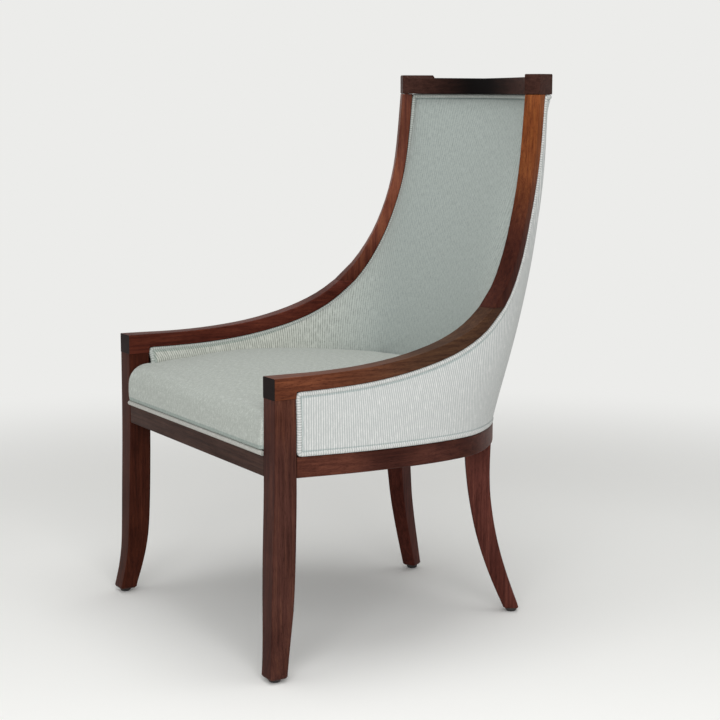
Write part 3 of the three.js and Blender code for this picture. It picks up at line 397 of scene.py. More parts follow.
# length and width of a mark in metres, then where its pattern starts
wood = {
    "streak": (0.16, 0.005, 3.1),
    "pore": (0.014, 0.0008, 7.7),   # drawn about three times as coarse as real pores
    "cloud": (0.126, 0.07, 1.3),    # clouds left by the wiping stain
    "seedSteps": (1.7, 0.9),        # each member starts elsewhere in the patterns
    "toneStops": (0.2, 0.5, 0.8),
    "cloudShade": ("#cfc6c3", 0.34, 0.62),
    "poreShade": ("#85746f", 0.36, 0.47),
    "poreShare": 0.5,               # how far the pores take that shade
    "poreDepth": 0.00012,
    "frontFacing": {"From Min": -0.95, "From Max": -0.8},
    # of the lacquer, over dark and over pale clouds
    "roughness": {"From Min": 0.3, "From Max": 0.7, "To Min": 0.5, "To Max": 0.4},
    "shine": 0.05,
}


def stainedMahogany(name, tones, grain, seed, fades, frontShade, shine):
    # wiping stain and satin lacquer on mahogany: streaky red-brown figure, fine open pores,
    # cloudy patches where the stain took darker, and nearly black end grain
    material, tree = newMaterial(name)
    place = addNode(tree, "ShaderNodeTexCoord").outputs["Object"]

    def grained(mark, **look):
        # noise that is long along the grain and narrow across it
        length, width, start = mark
        sizes = [length if axis == grain else width for axis in "XYZ"]
        across, up = wood["seedSteps"]
        offset = [start + seed * across, seed * up, start / 2]
        return patches(tree, place, sizes, offset=offset, **look)

    figure = grained(wood["streak"], detail=5.0, roughness=0.62, distortion=0.3)
    pores = grained(wood["pore"], detail=2.0)
    clouds = grained(wood["cloud"], detail=3.0, roughness=0.5)
    colour = addNode(tree, "ShaderNodeValToRGB", inputs={"Fac": figure},
                     stops=zip(wood["toneStops"], tones))
    colour = shaded(tree, colour, clouds, *wood["cloudShade"])
    colour = shaded(tree, colour, pores, *wood["poreShade"], share=wood["poreShare"])
    # the fades add stain gradients, painted shade and painted light along an axis
    for fade in fades:
        colour = shadedAlong(tree, place, colour, *fade)
    if frontShade:
        # faces turned to the front are darker: end grain that took more stain on the arms' front
        # ends, painted shade on the front faces of the legs
        normal = addNode(tree, "ShaderNodeTexCoord").outputs["Normal"]
        facing = addNode(tree, "ShaderNodeSeparateXYZ", inputs={"Vector": normal})
        front = addNode(tree, "ShaderNodeMapRange", inputs={
            "Value": facing.outputs["Y"], **wood["frontFacing"]})
        colour = shaded(tree, colour, front, frontShade)
    gloss = addNode(tree, "ShaderNodeMapRange", inputs={"Value": clouds, **wood["roughness"]})
    surface = {"Roughness": gloss, "Specular IOR Level": shine}
    return finished(material, colour, pores, wood["poreDepth"], 0.5, surface)


cloth = {
    "ribPitch": 0.0043,       # drawn about twice as coarse as the cloth's own
    "ribDepth": 0.0006,
    "dashLength": 0.016,      # a rib runs this far before it thins or thickens
    "slub": (0.003, 0.009),   # width and length of a thick place in the yarn
    "fleck": 0.0022,          # fine mottle of the mixed yarn, drawn a little coarse
    "fleckShare": 0.8,        # how much it counts beside the thick places
    "thinRibs": {"From Min": 0.3, "From Max": 0.6, "To Min": 0.25},
    # painted shade in the grooves between the ribs
    "paintedGrooveShade": 0.62,       # how much darker a groove is than a crest
    "darkAt": (0.9, 0.42),    # the shadow tone is reached at this yarn and groove
    "lightAt": 1.05,          # and the light one at this yarn
    # painted shade where the inside cloth faces the front, painted light where it turns to the window
    # lamp
    "flatPaintedShade": "#d4dbdd",
    "turnedPaintedLight": "#fffefb",
    "flatRibs": 0.25,         # how strong the ribs stay where the cloth faces the front
    "creaseWidth": 0.002,
    # painted shade in the crease beside a welt
    "creaseShade": "#dbe3e3",
    "surface": {
        "Roughness": 0.92, "Specular IOR Level": 0.2, "Sheen Weight": 0.08, "Sheen Roughness": 0.5},
}


def ribbedCloth(name, shadow, light, ribs, mottle, ribFrom=None, crease=None):
    # tightly woven cotton and viscose ottoman: fine raised ribs that run up the cloth, broken
    # into dashes by uneven pale yarn, matt with a faint bloom where it is seen edge on
    material, tree = newMaterial(name)
    place = addNode(tree, "ShaderNodeUVMap", {"uv_map": "cloth"})
    rib = addNode(tree, "ShaderNodeTexWave", {"bands_direction": "X"}, {
        "Vector": place, "Scale": waveScale(cloth["ribPitch"]),
        "Distortion": 0.3, "Detail": 1.0, "Detail Scale": 0.5}).outputs["Fac"]
    dash = patches(tree, place, (cloth["ribPitch"], cloth["dashLength"], 1), 2.0)
    slub = patches(tree, place, (*cloth["slub"], 1), 3.0)
    fleck = patches(tree, place, (cloth["fleck"], cloth["fleck"], 1), 2.0)
    strength = addNode(tree, "ShaderNodeMapRange", inputs={"Value": dash, **cloth["thinRibs"]})
    if ribFrom:
        # the ribs come out where the cloth turns to the side light
        apart = addNode(tree, "ShaderNodeSeparateXYZ", inputs={"Vector": place})
        away = addNode(tree, "ShaderNodeMath", absolute, {0: apart.outputs["X"]})
        side = addNode(tree, "ShaderNodeMapRange", smoothRange, {
            "Value": away, "From Min": ribFrom[0], "From Max": ribFrom[1],
            "To Min": cloth["flatRibs"]})
        strength = addNode(tree, "ShaderNodeMath", times, {0: strength, 1: side})
    ridge = addNode(tree, "ShaderNodeMath", times, {0: rib, 1: strength})
    groove = addNode(tree, "ShaderNodeMath", minus, {0: strength, 1: ridge})
    flecks = addNode(tree, "ShaderNodeMath", times, {0: fleck, 1: mottle * cloth["fleckShare"]})
    yarn = addNode(tree, "ShaderNodeMath", timesPlus, {0: slub, 1: mottle, 2: flecks})
    # highest on the crest of a rib of pale yarn, less in the grooves, which carry painted shade, and
    # thin places
    tone = addNode(tree, "ShaderNodeMath", timesPlus, {
        0: groove, 1: -cloth["paintedGrooveShade"] * ribs, 2: yarn})
    darkYarn, darkGroove = cloth["darkAt"]
    colour = addNode(tree, "ShaderNodeValToRGB", inputs={"Fac": tone}, stops=[
        (mottle * darkYarn - darkGroove * ribs, shadow), (mottle * cloth["lightAt"], light)])
    if ribFrom:
        # painted light makes the cloth paler and warmer there, and painted shade greys it where it
        # faces the front
        colour = shaded(tree, colour, side, cloth["flatPaintedShade"], cloth["flatRibs"],
                        end=cloth["turnedPaintedLight"])
    if crease:
        # painted shade: a pale blue-green darkening in the crease beside the welt
        seam = addNode(tree, "ShaderNodeAttribute", {"attribute_name": "fromSeam"}).outputs["Fac"]
        near = addNode(tree, "ShaderNodeMapRange", smoothRange, {
            "Value": seam, "From Min": crease, "From Max": crease + cloth["creaseWidth"]})
        colour = shaded(tree, colour, near, cloth["creaseShade"])
    raised = addNode(tree, "ShaderNodeBump", inputs={
        "Height": ridge, "Distance": cloth["ribDepth"], "Strength": 0.6 * ribs})
    return finished(material, colour, yarn, cloth["ribDepth"], 0.5, cloth["surface"],
                    {"Normal": raised})


def plainMaterial(name, low, high, sizes, roughness, metallic=0.0, depth=0.0001):
    # a plain finish: mottled between two tones, with relief of the same size
    material, tree = newMaterial(name)
    place = addNode(tree, "ShaderNodeTexCoord").outputs["Object"]
    mottle = patches(tree, place, sizes, 4.0)
    colour = addNode(tree, "ShaderNodeValToRGB", inputs={"Fac": mottle}, stops=[
        (0.35, low), (0.65, high)])
    surface = {"Roughness": roughness, "Metallic": metallic}
    return finished(material, colour, mottle, depth, 0.5, surface)


def wovenWebbing(name, low, high, pitch):
    # flat jute strap: a plain weave of coarse threads, hairy and matt
    material, tree = newMaterial(name)
    place = addNode(tree, "ShaderNodeTexCoord").outputs["Object"]
    warp, weft = (addNode(tree, "ShaderNodeTexWave", {"bands_direction": direction}, {
        "Vector": place, "Scale": waveScale(pitch), "Distortion": 0.6}).outputs["Fac"]
        for direction in ("X", "Y"))
    crossing = addNode(tree, "ShaderNodeMath", times, {0: warp, 1: weft})
    hair = patches(tree, place, [pitch] * 3, 3.0, roughness=0.5)
    both = addNode(tree, "ShaderNodeMath", timesPlus, {0: hair, 1: 0.5, 2: crossing})
    colour = addNode(tree, "ShaderNodeValToRGB", inputs={"Fac": both}, stops=[
        (0.2, low), (0.9, high)])
    return finished(material, colour, crossing, pitch / 4, 0.6, {"Roughness": 0.95})


# the same ottoman, ribs up on the panels and pressed nearly smooth on the seat
insideCloth = ribbedCloth("sageOttoman", "#91958f", "#c9ccc6", ribs=0.8, mottle=0.35,
                          ribFrom=(0.1, 0.38), crease=0.0062)
seatCloth = ribbedCloth("sageOttomanSeat", "#a3a8a2", "#bdc2bc", ribs=0.1, mottle=0.35, crease=0.0125)
outsideCloth = ribbedCloth("paleOttoman", "#aeb2b1", "#d8d8d6", ribs=0.8, mottle=0.22, crease=0.0042)
insideCord = ribbedCloth("sageOttomanWelt", "#959b96", "#bcc1bc", ribs=0.7, mottle=0.3)
seatCord = ribbedCloth("warmOttomanWelt", "#9f9f99", "#c8c6c1", ribs=0.7, mottle=0.3)
outsideCord = ribbedCloth("paleOttomanWelt", "#acb0ae", "#d8d8d6", ribs=0.8, mottle=0.3)
print("cloth materials made")


# Wood and hidden frame: the imported nodes, with their own grain direction, stain, and
# painted light and shade

joining = {
    "distance": 0.00002,                # corners this close are one
    "sharpAngle": math.radians(52),     # edges flatter than this are shaded round
    "faceWeight": 100,                  # large faces rule the shading at their corners
}


def roundedShading():
    # joins the loose triangles and shades every edge flatter than the limit as one surface
    tree = bpy.data.node_groups.new("roundedShading", "GeometryNodeTree")
    for way in ("INPUT", "OUTPUT"):
        tree.interface.new_socket("Geometry", in_out=way, socket_type="NodeSocketGeometry")
    source = addNode(tree, "NodeGroupInput")
    merged = addNode(tree, "GeometryNodeMergeByDistance", inputs={
        "Geometry": source, "Distance": joining["distance"]})
    plain = addNode(tree, "GeometryNodeSetMeshNormal", {"mode": "SHARPNESS"}, {
        "Mesh": merged, "Remove Custom": True, "Edge Sharpness": False, "Face Sharpness": False})
    angle = addNode(tree, "GeometryNodeInputMeshEdgeAngle")
    over = {"data_type": "FLOAT", "operation": "GREATER_THAN"}
    steep = addNode(tree, "FunctionNodeCompare", over, {0: angle, 1: joining["sharpAngle"]})
    edges = addNode(tree, "GeometryNodeSetShadeSmooth", {"domain": "EDGE"}, {
        "Geometry": plain, "Selection": steep, "Shade Smooth": False})
    addNode(tree, "NodeGroupOutput", inputs={"Geometry": edges})
    return tree


shadingGroup = roundedShading()


def finishNode(name, material):
    node = nodes[name]
    for slot in node.material_slots:
        slot.material = material
    shading = node.modifiers.new("roundedShading", "NODES")
    shading.node_group = shadingGroup
    weighted = node.modifiers.new("weightedNormals", "WEIGHTED_NORMAL")
    weighted.keep_sharp = True
    weighted.weight = joining["faceWeight"]


# piece: axis of its grain, then the dark, middle and light tone of its stain; the members on
# the sitter's left face the window lamp and have mostly paler tones, so part of the difference
# between a left and a right member is painted light and shade
stainAndLightTones = {
    "front_leg_left": ("Z", "#391d16", "#5d382d", "#774b37"),
    "front_leg_right": ("Z", "#260d07", "#401d13", "#542a1b"),
    "rear_leg_left": ("Z", "#3b1c16", "#60342d", "#78463b"),
    "rear_leg_right": ("Z", "#32130e", "#4e251d", "#633228"),
    "arm_left": ("Y", "#432016", "#6e3e2a", "#8a5236"),
    "arm_right": ("Y", "#341510", "#56281e", "#6d3828"),
    "stile_left": ("Z", "#582b18", "#8e502b", "#a76836"),
    "stile_right": ("Z", "#582c23", "#8a4f3c", "#a66a47"),
    "side_rail": ("Y", "#371a15", "#5a3328", "#714434"),
    "front_rail": ("X", "#26140f", "#3e2922", "#4e352b"),
    "rear_rail": ("X", "#3c1f17", "#633b2c", "#794b39"),
    "crest_rail": ("X", "#271611", "#432b25", "#543830"),
}
# where the colour is darker or paler along an axis, from stain, painted shade and painted light,
# as noted for each member:
# axis, where the shade is whole, where it has gone, the shade, and whether distance from zero counts
fades = {
    # painted shade: the bowed middle of the crest is darker where it turns from the window lamp
    "crest_rail": [("X", 0.02, 0.2, "#2e1c1c", True)],
    # darker towards the foot: partly stain, partly painted shade
    "stile_left": [("Z", 0.7, 0.93, "#7f78a8")],
    # a painted warm highlight across the upper front, darker above it, and towards the foot partly
    # stain, partly painted shade
    "stile_right": [("Z", 0.88, 0.77, "#c9c7cc"), ("Z", 0.58, 0.74, "#a89c9c")],
    # darker towards the rear end
    "arm_left": [("Y", 0.02, -0.28, "#b2d7e5")],
    # painted light: the top of the near front leg is paler
    "front_leg_left": [("Z", 0.37, 0.45, "#d8d9e4")],
    # darker in the middle, paler towards both ends
    "side_rail": [("Y", 0.12, 0.21, "#d5d5df", True)],
    # a little darker towards the foot
    "rear_leg_left": [("Z", 0.1, 0.3, "#f2f0ee")],
}
# faces turned to the front: end grain that took more stain on the arms, painted shade on the legs
frontShades = {
    "arm_left": "#382424",
    "arm_right": "#5a4745",
    "front_leg_left": "#e0cbc7",
    "front_leg_right": "#f8ede2",
}
# the dark crest shines less
shines = {"crest_rail": 0.03}
for number, (part, (grain, *tones)) in enumerate(stainAndLightTones.items()):
    members = sorted(n for n in nodes if n in (part, part + "_left", part + "_right"))
    for side, member in enumerate(members):
        finishNode(member, stainedMahogany(
            f"mahogany-{member}", tones, grain, number * 2 + side, fades.get(part, ()),
            frontShades.get(part), shines.get(part, wood["shine"])))

# dowels and blocks of unfinished beech: pale, even and dull
beech = plainMaterial("turnedBeech", "#b98f5f", "#d3b183", (0.02, 0.02, 0.2), 0.6)
# sawn poplar wiped with dark stain: a dull, faintly streaky brown
poplar = plainMaterial("stainedPoplar", "#2c1710", "#472a1e", (0.03, 0.03, 0.3), 0.8)
# zinc plating on steel: an even grey with a blurred shine
steel = plainMaterial("zincSteel", "#8d9094", "#a9acb0", [0.004] * 3, 0.35, metallic=1.0)
# moulded nylon: nearly black with a soft shine
nylon = plainMaterial("mouldedNylon", "#1b1817", "#2b2725", [0.003] * 3, 0.5)
# spunbond dust cloth: black and matt, faintly dimpled
blackCloth = plainMaterial("spunbondCloth", "#101011", "#1d1d1f", [0.0015] * 3, 0.95, depth=0.0003)
jute = wovenWebbing("juteWebbing", "#6d5536", "#b39a6c", 0.003)
hidden = {
    "dowel": beech, "block_left": beech, "block_right": beech, "screw": steel,
    "glide": nylon, "board": poplar, "strap": jute, "dust_cover": blackCloth,
}
for name in sorted(nodes):
    for key, finish in hidden.items():
        if key in name:
            finishNode(name, finish)
print("wood and hidden pieces finished")


# The wrapped back: its rim under the wood and the lines of the rails and the seat

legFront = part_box("arm_left")[0].y
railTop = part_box("rear_rail")[1].z
tub = {
    "axis": legFront + 0.250,
    "crestBottom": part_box("crest_rail")[0].z,
    "armTop": railTop + 0.134,
    "armOuter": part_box("arm_left")[1].x,
    "armWidth": 0.0421,
    "armDepth": 0.0255,
    "stileOuter": 0.238,
    "stileBack": 0.580,
    "stileWidth": 0.032,
    "stileDepth": 0.020,
    "stileTurn": math.radians(26),
    "legDepth": 0.0413,
    "gap": 0.0003,
    "crestDepth": 0.043,
    "crestFrontSag": 0.040,
    "crestRearSag": 0.039,
    "crestPadBack": 0.021,
    "railFront": 0.319,
    "railWidest": 0.334,
    "railBack": 0.572,
    "seatHalf": 0.271,
    "seatBack": 0.480,
    "seatLine": railTop + 0.098,
    "wrapThickness": 0.028,   # between the inside and outside panels at the rim
    "leastRise": 0.02,        # the wrap is at least this tall, whatever its start
    "bowPower": 1.35,
    "sweepPoints": 1500,
    "crestPoints": 400,
}

# spread, set back, rise, turn, width and show depth of the arm and stile, in shares
sweepShares = [
    [1, 0, 0, 0, 1, 0],
    [0.955, 0.0712, 0, 0.06, 0.6, 0],
    [0.886, 0.19, 0, 0.1, 0.1, 0],
    [0.844, 0.328, 0.008, 0.1, 0.02, 0],
    [0.784, 0.474, 0.031, 0.12, 0.02, 0.1],
    [0.73, 0.621, 0.077, 0.16, 0.3, 0.2],
    [0.623, 0.738, 0.145, 0.42, 0.45, 0.45],
    [0.443, 0.831, 0.248, 0.66, 0.2, 0.6],
    [0.251, 0.897, 0.375, 0.95, 0, 0.8],
    [0.108, 0.94, 0.511, 1, -0.1, 1],
    [0.036, 0.969, 0.651, 0.96, -0.1, 1],
    [0.018, 0.986, 0.792, 0.93, 0, 1],
    [0, 1, 1, 0.89, 0, 1],
]
# outer face of the rails and the line of the seat seen from above, out and back; the rails' first
# three go out from their width at the legs, 0, to the widest, 1
railShares = [
    [0, 0], [0.8, 0.184], [1, 0.347], [0.979, 0.534], [0.919, 0.674],
    [0.79, 0.788], [0.644, 0.868], [0.506, 0.921], [0.329, 0.968], [0, 1],
]
seatLineShares = [
    [0.985, 0], [1, 0.2], [0.985, 0.45], [0.92, 0.65], [0.83, 0.775],
    [0.7, 0.885], [0.55, 0.955], [0.38, 0.985], [0, 1],
]


def turnOf(points):
    # angle about the tub's upright axis, 0 straight back
    return np.arctan2(points[..., 0], points[..., 1] - tub["axis"])


def sweepLines(places):
    # outer edge of the arm and stile, direction across them, width and show depth
    spread, back, rise, turn, wide, deep = cubicRows(sweepShares, places).T
    outer = np.stack([
        mix(tub["stileOuter"], tub["armOuter"], spread),
        legFront + tub["stileBack"] * back,
        mix(tub["armTop"], tub["crestBottom"] - tub["gap"], rise)], 1)
    heading = tub["stileTurn"] * turn
    across = np.stack([np.cos(heading), np.sin(heading), 0 * heading], 1)
    width = mix(tub["stileWidth"], tub["armWidth"], wide)
    return outer, across, width, mix(tub["armDepth"], tub["stileDepth"], deep)


def bowed(end, sag, share):
    # arc from an end to the middle plane, as deep as the sag
    x = end[0] * (1 - share)
    radius = (end[0] ** 2 + sag ** 2) / (2 * sag)
    fall = radius - np.sqrt(radius ** 2 - x ** 2)
    return np.stack([x, end[1] + sag - fall, 0 * x], 1)


def rimHalf(share, drop):
    # line under the wood from the leg up to the crest rail and on to the middle:
    # inner edge + width x share across + (depth + drop) down, then the crest's bowed faces
    outer, across, width, depth = sweepLines(np.linspace(0, 1, tub["sweepPoints"]))
    along = unit(np.gradient(outer, axis=0))
    down = unit(np.cross(across, along))
    down *= np.where(down[:, 2:] > down[:, 1:2], -1, 1)
    under = outer - across * (width * (1 - share))[:, None] + down * (depth + drop)[:, None]
    top = tub["crestBottom"] - drop
    under = under[(under[:, 1] > legBack + drop) & (under[:, 2] < top)]
    back = np.array([-across[-1][1], across[-1][0], 0])
    inner = outer[-1] - across[-1] * width[-1] + back * tub["crestPadBack"]
    rear = outer[-1] + back * tub["crestDepth"]
    parts = np.linspace(0, 1, tub["crestPoints"])
    crest = mix(bowed(inner, tub["crestFrontSag"], parts),
                bowed(rear, tub["crestRearSag"], parts), share)
    crest[:, 2] = top
    crest = crest[turnOf(crest) < turnOf(under[-1])]
    return np.concatenate([under, crest]), len(under)


def planLine(half, low, high, back, start):
    # smooth line through points given as shares, seen from above
    spread = [mix(low, high, out) if i < 3 and low else high * out for i, (out, _) in enumerate(half)]
    points = [[x, mix(start, legFront + back, b), 0] for x, (_, b) in zip(spread, half)]
    return smoothLine(bothSides(np.array(points)))


legRear = legFront + tub["legDepth"]
legBack = legRear + tub["gap"]
railLine = planLine(railShares, tub["railFront"], tub["railWidest"], tub["railBack"], legBack)
seatLine = planLine(seatLineShares, None, tub["seatHalf"], tub["seatBack"], legRear)


def atTurn(line, values, turns):
    # values at the points of a plan line, read at angles about the tub's axis
    angles = turnOf(line)
    order = np.argsort(angles)
    return np.interp(turns, angles[order], values[order])


def rimRow(share, panel):
    # the rim in even steps on each side of the crest's corner, with one point in the corner
    half, corner = rimHalf(share, panel["edgeDrop"])
    run = lengths(half)
    side = round(panel["columns"] * run[corner] / run[-1])
    lower = resampled(half[:corner], side)
    upper = resampled(half[corner - 1:], panel["columns"] - side + 1)
    return bothSides(np.concatenate([lower, upper[1:]])), side


def wrapGrid(rim, line, panel):
    # each column rises from the foot line to the rim point at the same turn, straight from the
    # level where it leaves the upright, with a bow of bow x sin(pi x part ^ power) outwards
    under = np.stack([atTurn(line, line[:, k], turnOf(rim)) for k in range(2)], 1)
    outward = unit(under - [0, tub["axis"]])
    height = mix(panel["foot"], rim[:, 2], np.linspace(0, 1, panel["rows"])[:, None])
    start = np.minimum(panel["start"], rim[:, 2] - tub["leastRise"])
    part = np.clip((height - start) / (rim[:, 2] - start), 0, 1)
    tall = (rim[:, 2] - railTop) / (tub["crestBottom"] - railTop)
    bulge = panel["bow"] * tall * np.sin(np.pi * part ** tub["bowPower"])
    plan = mix(under, rim[:, :2], part[..., None]) + outward * bulge[..., None]
    grid = np.concatenate([plan, height[..., None]], 2)
    grid[:, [0, -1], 1] = rim[[0, -1], 1]
    return relaxed(grid, panel["rounds"])


# Inside pad

insidePad = {
    "edgeDrop": 0.0035,       # its edge lies behind the welt
    "roll": 0.0024,           # how far the face falls back at the welt
    "rollReach": 0.011,
    "thickness": 0.008,
    "foot": railTop + 0.007,
    "start": tub["seatLine"],     # up to here it stands upright
    "bow": 0,
    "columns": 120,
    "rows": 76,
    "rounds": 500,
    "heldEdge": 0.006,        # sewn down this far from its edge
    "heldBelow": railTop + 0.09,     # behind the seat's edge
}
padRim, _ = rimRow(0, insidePad)
padFace = wrapGrid(padRim, seatLine, insidePad)
padNormals = gridNormals(padFace, -1)
padBorder = edgeDistance(padFace)
padFace = rolledBack(padFace, padNormals, insidePad["roll"], insidePad["rollReach"])
padBack = padFace - padNormals * insidePad["thickness"]
insidePiece = shellPiece("inside_back_pad", padFace, padBack, padBorder,
                         clothUv(padFace, seatLine), insideCloth)
faceHeld = (padBorder < insidePad["heldEdge"]) | (padFace[..., 2] < insidePad["heldBelow"])
settled(insidePiece, np.concatenate([faceHeld.ravel(), np.ones(faceHeld.size, bool)]))
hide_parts("inside_pad")
print("inside pad made")


# Outside covers, with a seam behind each stile

outsideCover = {
    "edgeDrop": 0.0055,
    "roll": 0.0024,
    "rollReach": 0.009,
    "thickness": 0.005,
    "foot": railTop + 0.0055,
    "start": railTop + 0.0055,
    "bow": 0.022,
    "columns": 190,
    "rows": 100,
    "rounds": 120,
}
coverRim, cornerColumn = rimRow(1, outsideCover)
coverFace = wrapGrid(coverRim, railLine, outsideCover)
coverNormals = gridNormals(coverFace, 1)
coverUv = clothUv(coverFace, railLine)
coverBorder = edgeDistance(coverFace)
# the seams come down just past the crest's corners
seam = cornerColumn + 1
lastColumn = coverFace.shape[1] - 1
seams = (0, seam, lastColumn - seam, lastColumn)
covers = {
    "outside_side_left": "outside_cover_left",
    "outside_back": "outside_back_cover",
    "outside_side_right": "outside_cover_right",
}
for (name, node), first, last in zip(covers.items(), seams, seams[1:]):
    panel = slice(first, last + 1)
    normals = coverNormals[:, panel]
    face = rolledBack(coverFace[:, panel], normals, outsideCover["roll"], outsideCover["rollReach"])
    back = face - normals * outsideCover["thickness"]
    cover = shellPiece(name, face, back, coverBorder[:, panel], coverUv[:, panel],
                       outsideCloth)
    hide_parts(node)
print("outside covers made")


# Welts: fabric sewn round a cord

welt = {
    "radius": 0.0043,
    "sides": 16,
    "clear": 0.0002,          # space to the wood
    "depth": 0.003,           # its middle lies this far behind the face that it edges
    "corner": 0.0035,         # corners turn within this reach
    "cornerGap": 0.003,       # the part beside the leg stops this far below the rim
    "cornerSkip": 3,          # and this many points of the rim are left out there
    "legPoints": 60,
    "insideFoot": railTop + 0.05,
    "railBlend": 0.05,        # the outside welt comes in line over this height
    "railClear": 0.001,
    "seatHalf": 0.279,
    "seatPoints": 300,
    "seatProud": 0.0055,      # how far the seat's welt stands out before the legs
}
toWood = welt["radius"] + welt["clear"]
railWeltHeight = railTop + toWood
inShare = welt["depth"] / tub["wrapThickness"]


def besideLeg(column, rim, foot, depth):
    # the stretch beside the leg, from the foot up to the arm, a depth behind the panel's edge
    heights = np.linspace(foot, rim[0, 2] - welt["cornerGap"], welt["legPoints"])
    x = np.interp(heights, column[:, 2], column[:, 0]) + depth
    x += (rim[0, 0] - x[-1]) * smooth(heights, heights[0], heights[-1])
    return np.stack([x, np.full(len(x), rim[0, 1]), heights], 1)


insideRim, _ = rimHalf(inShare, toWood)
insideLow = besideLeg(padFace[:, 0], insideRim, welt["insideFoot"], welt["depth"])
insidePath = bothSides(np.concatenate([insideLow, insideRim[welt["cornerSkip"]:]]))
insideWelt = cordPiece("inside_piping", evened(insidePath, welt["corner"]), insideCord)
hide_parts("inside_welt")

# the outside welt is one round from the middle of the crest: down the right side to the leg, back
# along the rails and up the left side
outsideRim, _ = rimHalf(1 - inShare, toWood)
outsideLow = besideLeg(coverFace[:, 0], outsideRim, railWeltHeight, -welt["depth"])
railOut = unit(np.gradient(railLine, axis=0)[:, [1, 0, 2]] * [1, -1, 0])
railOut *= np.sign(np.sum(railOut * (railLine - [0, tub["axis"], 0]), axis=1))[:, None]
railPath = railLine - railOut * welt["depth"]
railPath[:, 2] = railWeltHeight
railPath = railPath[railPath[:, 1] > outsideRim[0, 1] + welt["railClear"]]
toRail = 1 - smooth(outsideLow[:, 2], railWeltHeight, railWeltHeight + welt["railBlend"])
outsideLow[:, 0] += (railPath[0, 0] - outsideLow[0, 0]) * toRail
topPath = bothSides(np.concatenate([outsideLow, outsideRim[welt["cornerSkip"]:]]))
ringPath = np.concatenate([topPath, railPath[::-1]])
ringPath = np.roll(ringPath, -(len(topPath) // 2), axis=0)
outsideWelt = cordPiece("outside_piping", evened(ringPath, welt["corner"], closed=True),
                        outsideCord, closed=True)
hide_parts("outside_welt", "rail_welt")

seatWeltY = legFront + welt["radius"] - welt["seatProud"]
seatWeltPath = np.linspace([-welt["seatHalf"], seatWeltY, railWeltHeight],
                           [welt["seatHalf"], seatWeltY, railWeltHeight], welt["seatPoints"])
seatWelt = cordPiece("seat_piping", seatWeltPath, seatCord)
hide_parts("seat_welt")
print("welts made")


# Seat

seat = {
    "frontHalf": 0.2793,
    "middle": legFront + tub["seatBack"] / 2,
    "back": legFront + tub["seatBack"] + 0.001,
    "edgeHeight": railTop + 0.094,
    "frontHeight": railTop + 0.081,
    "noseRadius": 0.041,
    "foot": railTop + 0.0045,
    "crown": 0.0115,          # before the cloth swells
    "crownFrom": 0.14,        # behind the front, where the crown has its whole fall to the sides
    "sideFall": 0.9,          # that fall as a share of the crown
    "rearTurn": (0.002, 0.008),     # the rear edge is this far in and down where it turns
    "rearUpright": 0.02,
    "roll": 0.012,            # the edge turns down over this distance
    "noseRoll": 0.008,        # or this one between the legs
    "pastLegs": (-0.006, 0.012),    # from the legs' rear, where it widens to the panels
    "press": 0.0008,          # how far the seat presses into the panel beside it
    "stepsPerSpan": 24,
    "profilePoints": 100,
    "columns": 110,
    "evenShare": 0.25,        # the rest of their spacing closes up towards the ends
    "hub": (0.004, 0.03),     # middle of each end, in from the side and up from the foot
    "hubSeam": 0.1,           # far from the seam, so no crease
    "heldEdge": 0.005,
    "heldRows": 3,
    "heldRear": 0.012,
}
# profile from the welt up over the nose: set back and height as shares of the nose's own
noseShares = [
    [-0.04, 0], [-0.115, 0.1], [-0.142, 0.4], [-0.09, 0.64],
    [0.1, 0.81], [0.36, 0.915], [0.68, 0.975], [1, 1],
]


def seatProfile():
    # y and height from the front foot over the nose and the crown to the rear, then down
    nose = [[0, legFront + seat["noseRadius"] * back, mix(seat["foot"], seat["frontHeight"], up)]
            for back, up in noseShares]
    front = seat["middle"] - legFront - seat["noseRadius"]
    rear = seat["back"] - seat["middle"]
    y = np.concatenate([np.linspace(-front, 0, 8)[1:], np.linspace(0, rear - seat["roll"], 9)[1:]])
    fall = seat["crown"] * np.where(y < 0, 2 * (y / front) ** 2, (y / rear) ** 2)
    top = np.stack([0 * y, seat["middle"] + y, seat["edgeHeight"] + seat["crown"] - fall], 1)
    inward, down = seat["rearTurn"]
    rearLow = [[0, seat["back"] - inward, seat["edgeHeight"] - down],
               [0, seat["back"], seat["foot"] + seat["rearUpright"]],
               [0, seat["back"], seat["foot"]]]
    line = smoothLine(np.concatenate([nose, top, rearLow]), seat["stepsPerSpan"])
    return resampled(line, seat["profilePoints"])


def seatWidths(profile):
    # half the width at each point of the profile, and 1 where that is between the legs
    side = seatLine[seatLine[:, 0] > 0]
    order = np.argsort(side[:, 1])
    wide = np.interp(profile[:, 1], side[order, 1], side[order, 0]) + seat["press"]
    first, last = seat["pastLegs"]
    betweenLegs = 1 - smooth(profile[:, 1], legRear + first, legRear + last)
    return mix(wide, seat["frontHalf"], betweenLegs), betweenLegs


def seatGrid(profile, half, betweenLegs):
    # the profile at half width x share across, moved in by roll x (1 - sqrt(1 - part ^ 2)) near
    # the sides and down by crown x share ^ 2
    even = np.linspace(-1, 1, seat["columns"])
    across = mix(np.sin(even * np.pi / 2), even, seat["evenShare"])
    x = half[:, None] * across
    steps = np.gradient(profile, axis=0)
    normal = unit(np.stack([0 * steps[:, 0], -steps[:, 2], steps[:, 1]], 1))
    roll = mix(seat["roll"], seat["noseRoll"], betweenLegs)[:, None]
    toEdge = np.clip(1 - (half[:, None] - np.abs(x)) / roll, 0, 1)
    inward = roll * (1 - np.sqrt(1 - toEdge ** 2))
    level = smooth(profile[:, 1] - legFront, seat["noseRadius"] / 2, seat["crownFrom"])
    sag = seat["crown"] * level[:, None] * across ** 2 * seat["sideFall"]
    topward = np.clip(normal[:, 2:], 0, 1)
    return np.stack([x, profile[:, 1:2] - normal[:, 1:2] * inward,
                     profile[:, 2:] - normal[:, 2:] * inward - sag * topward], 2)


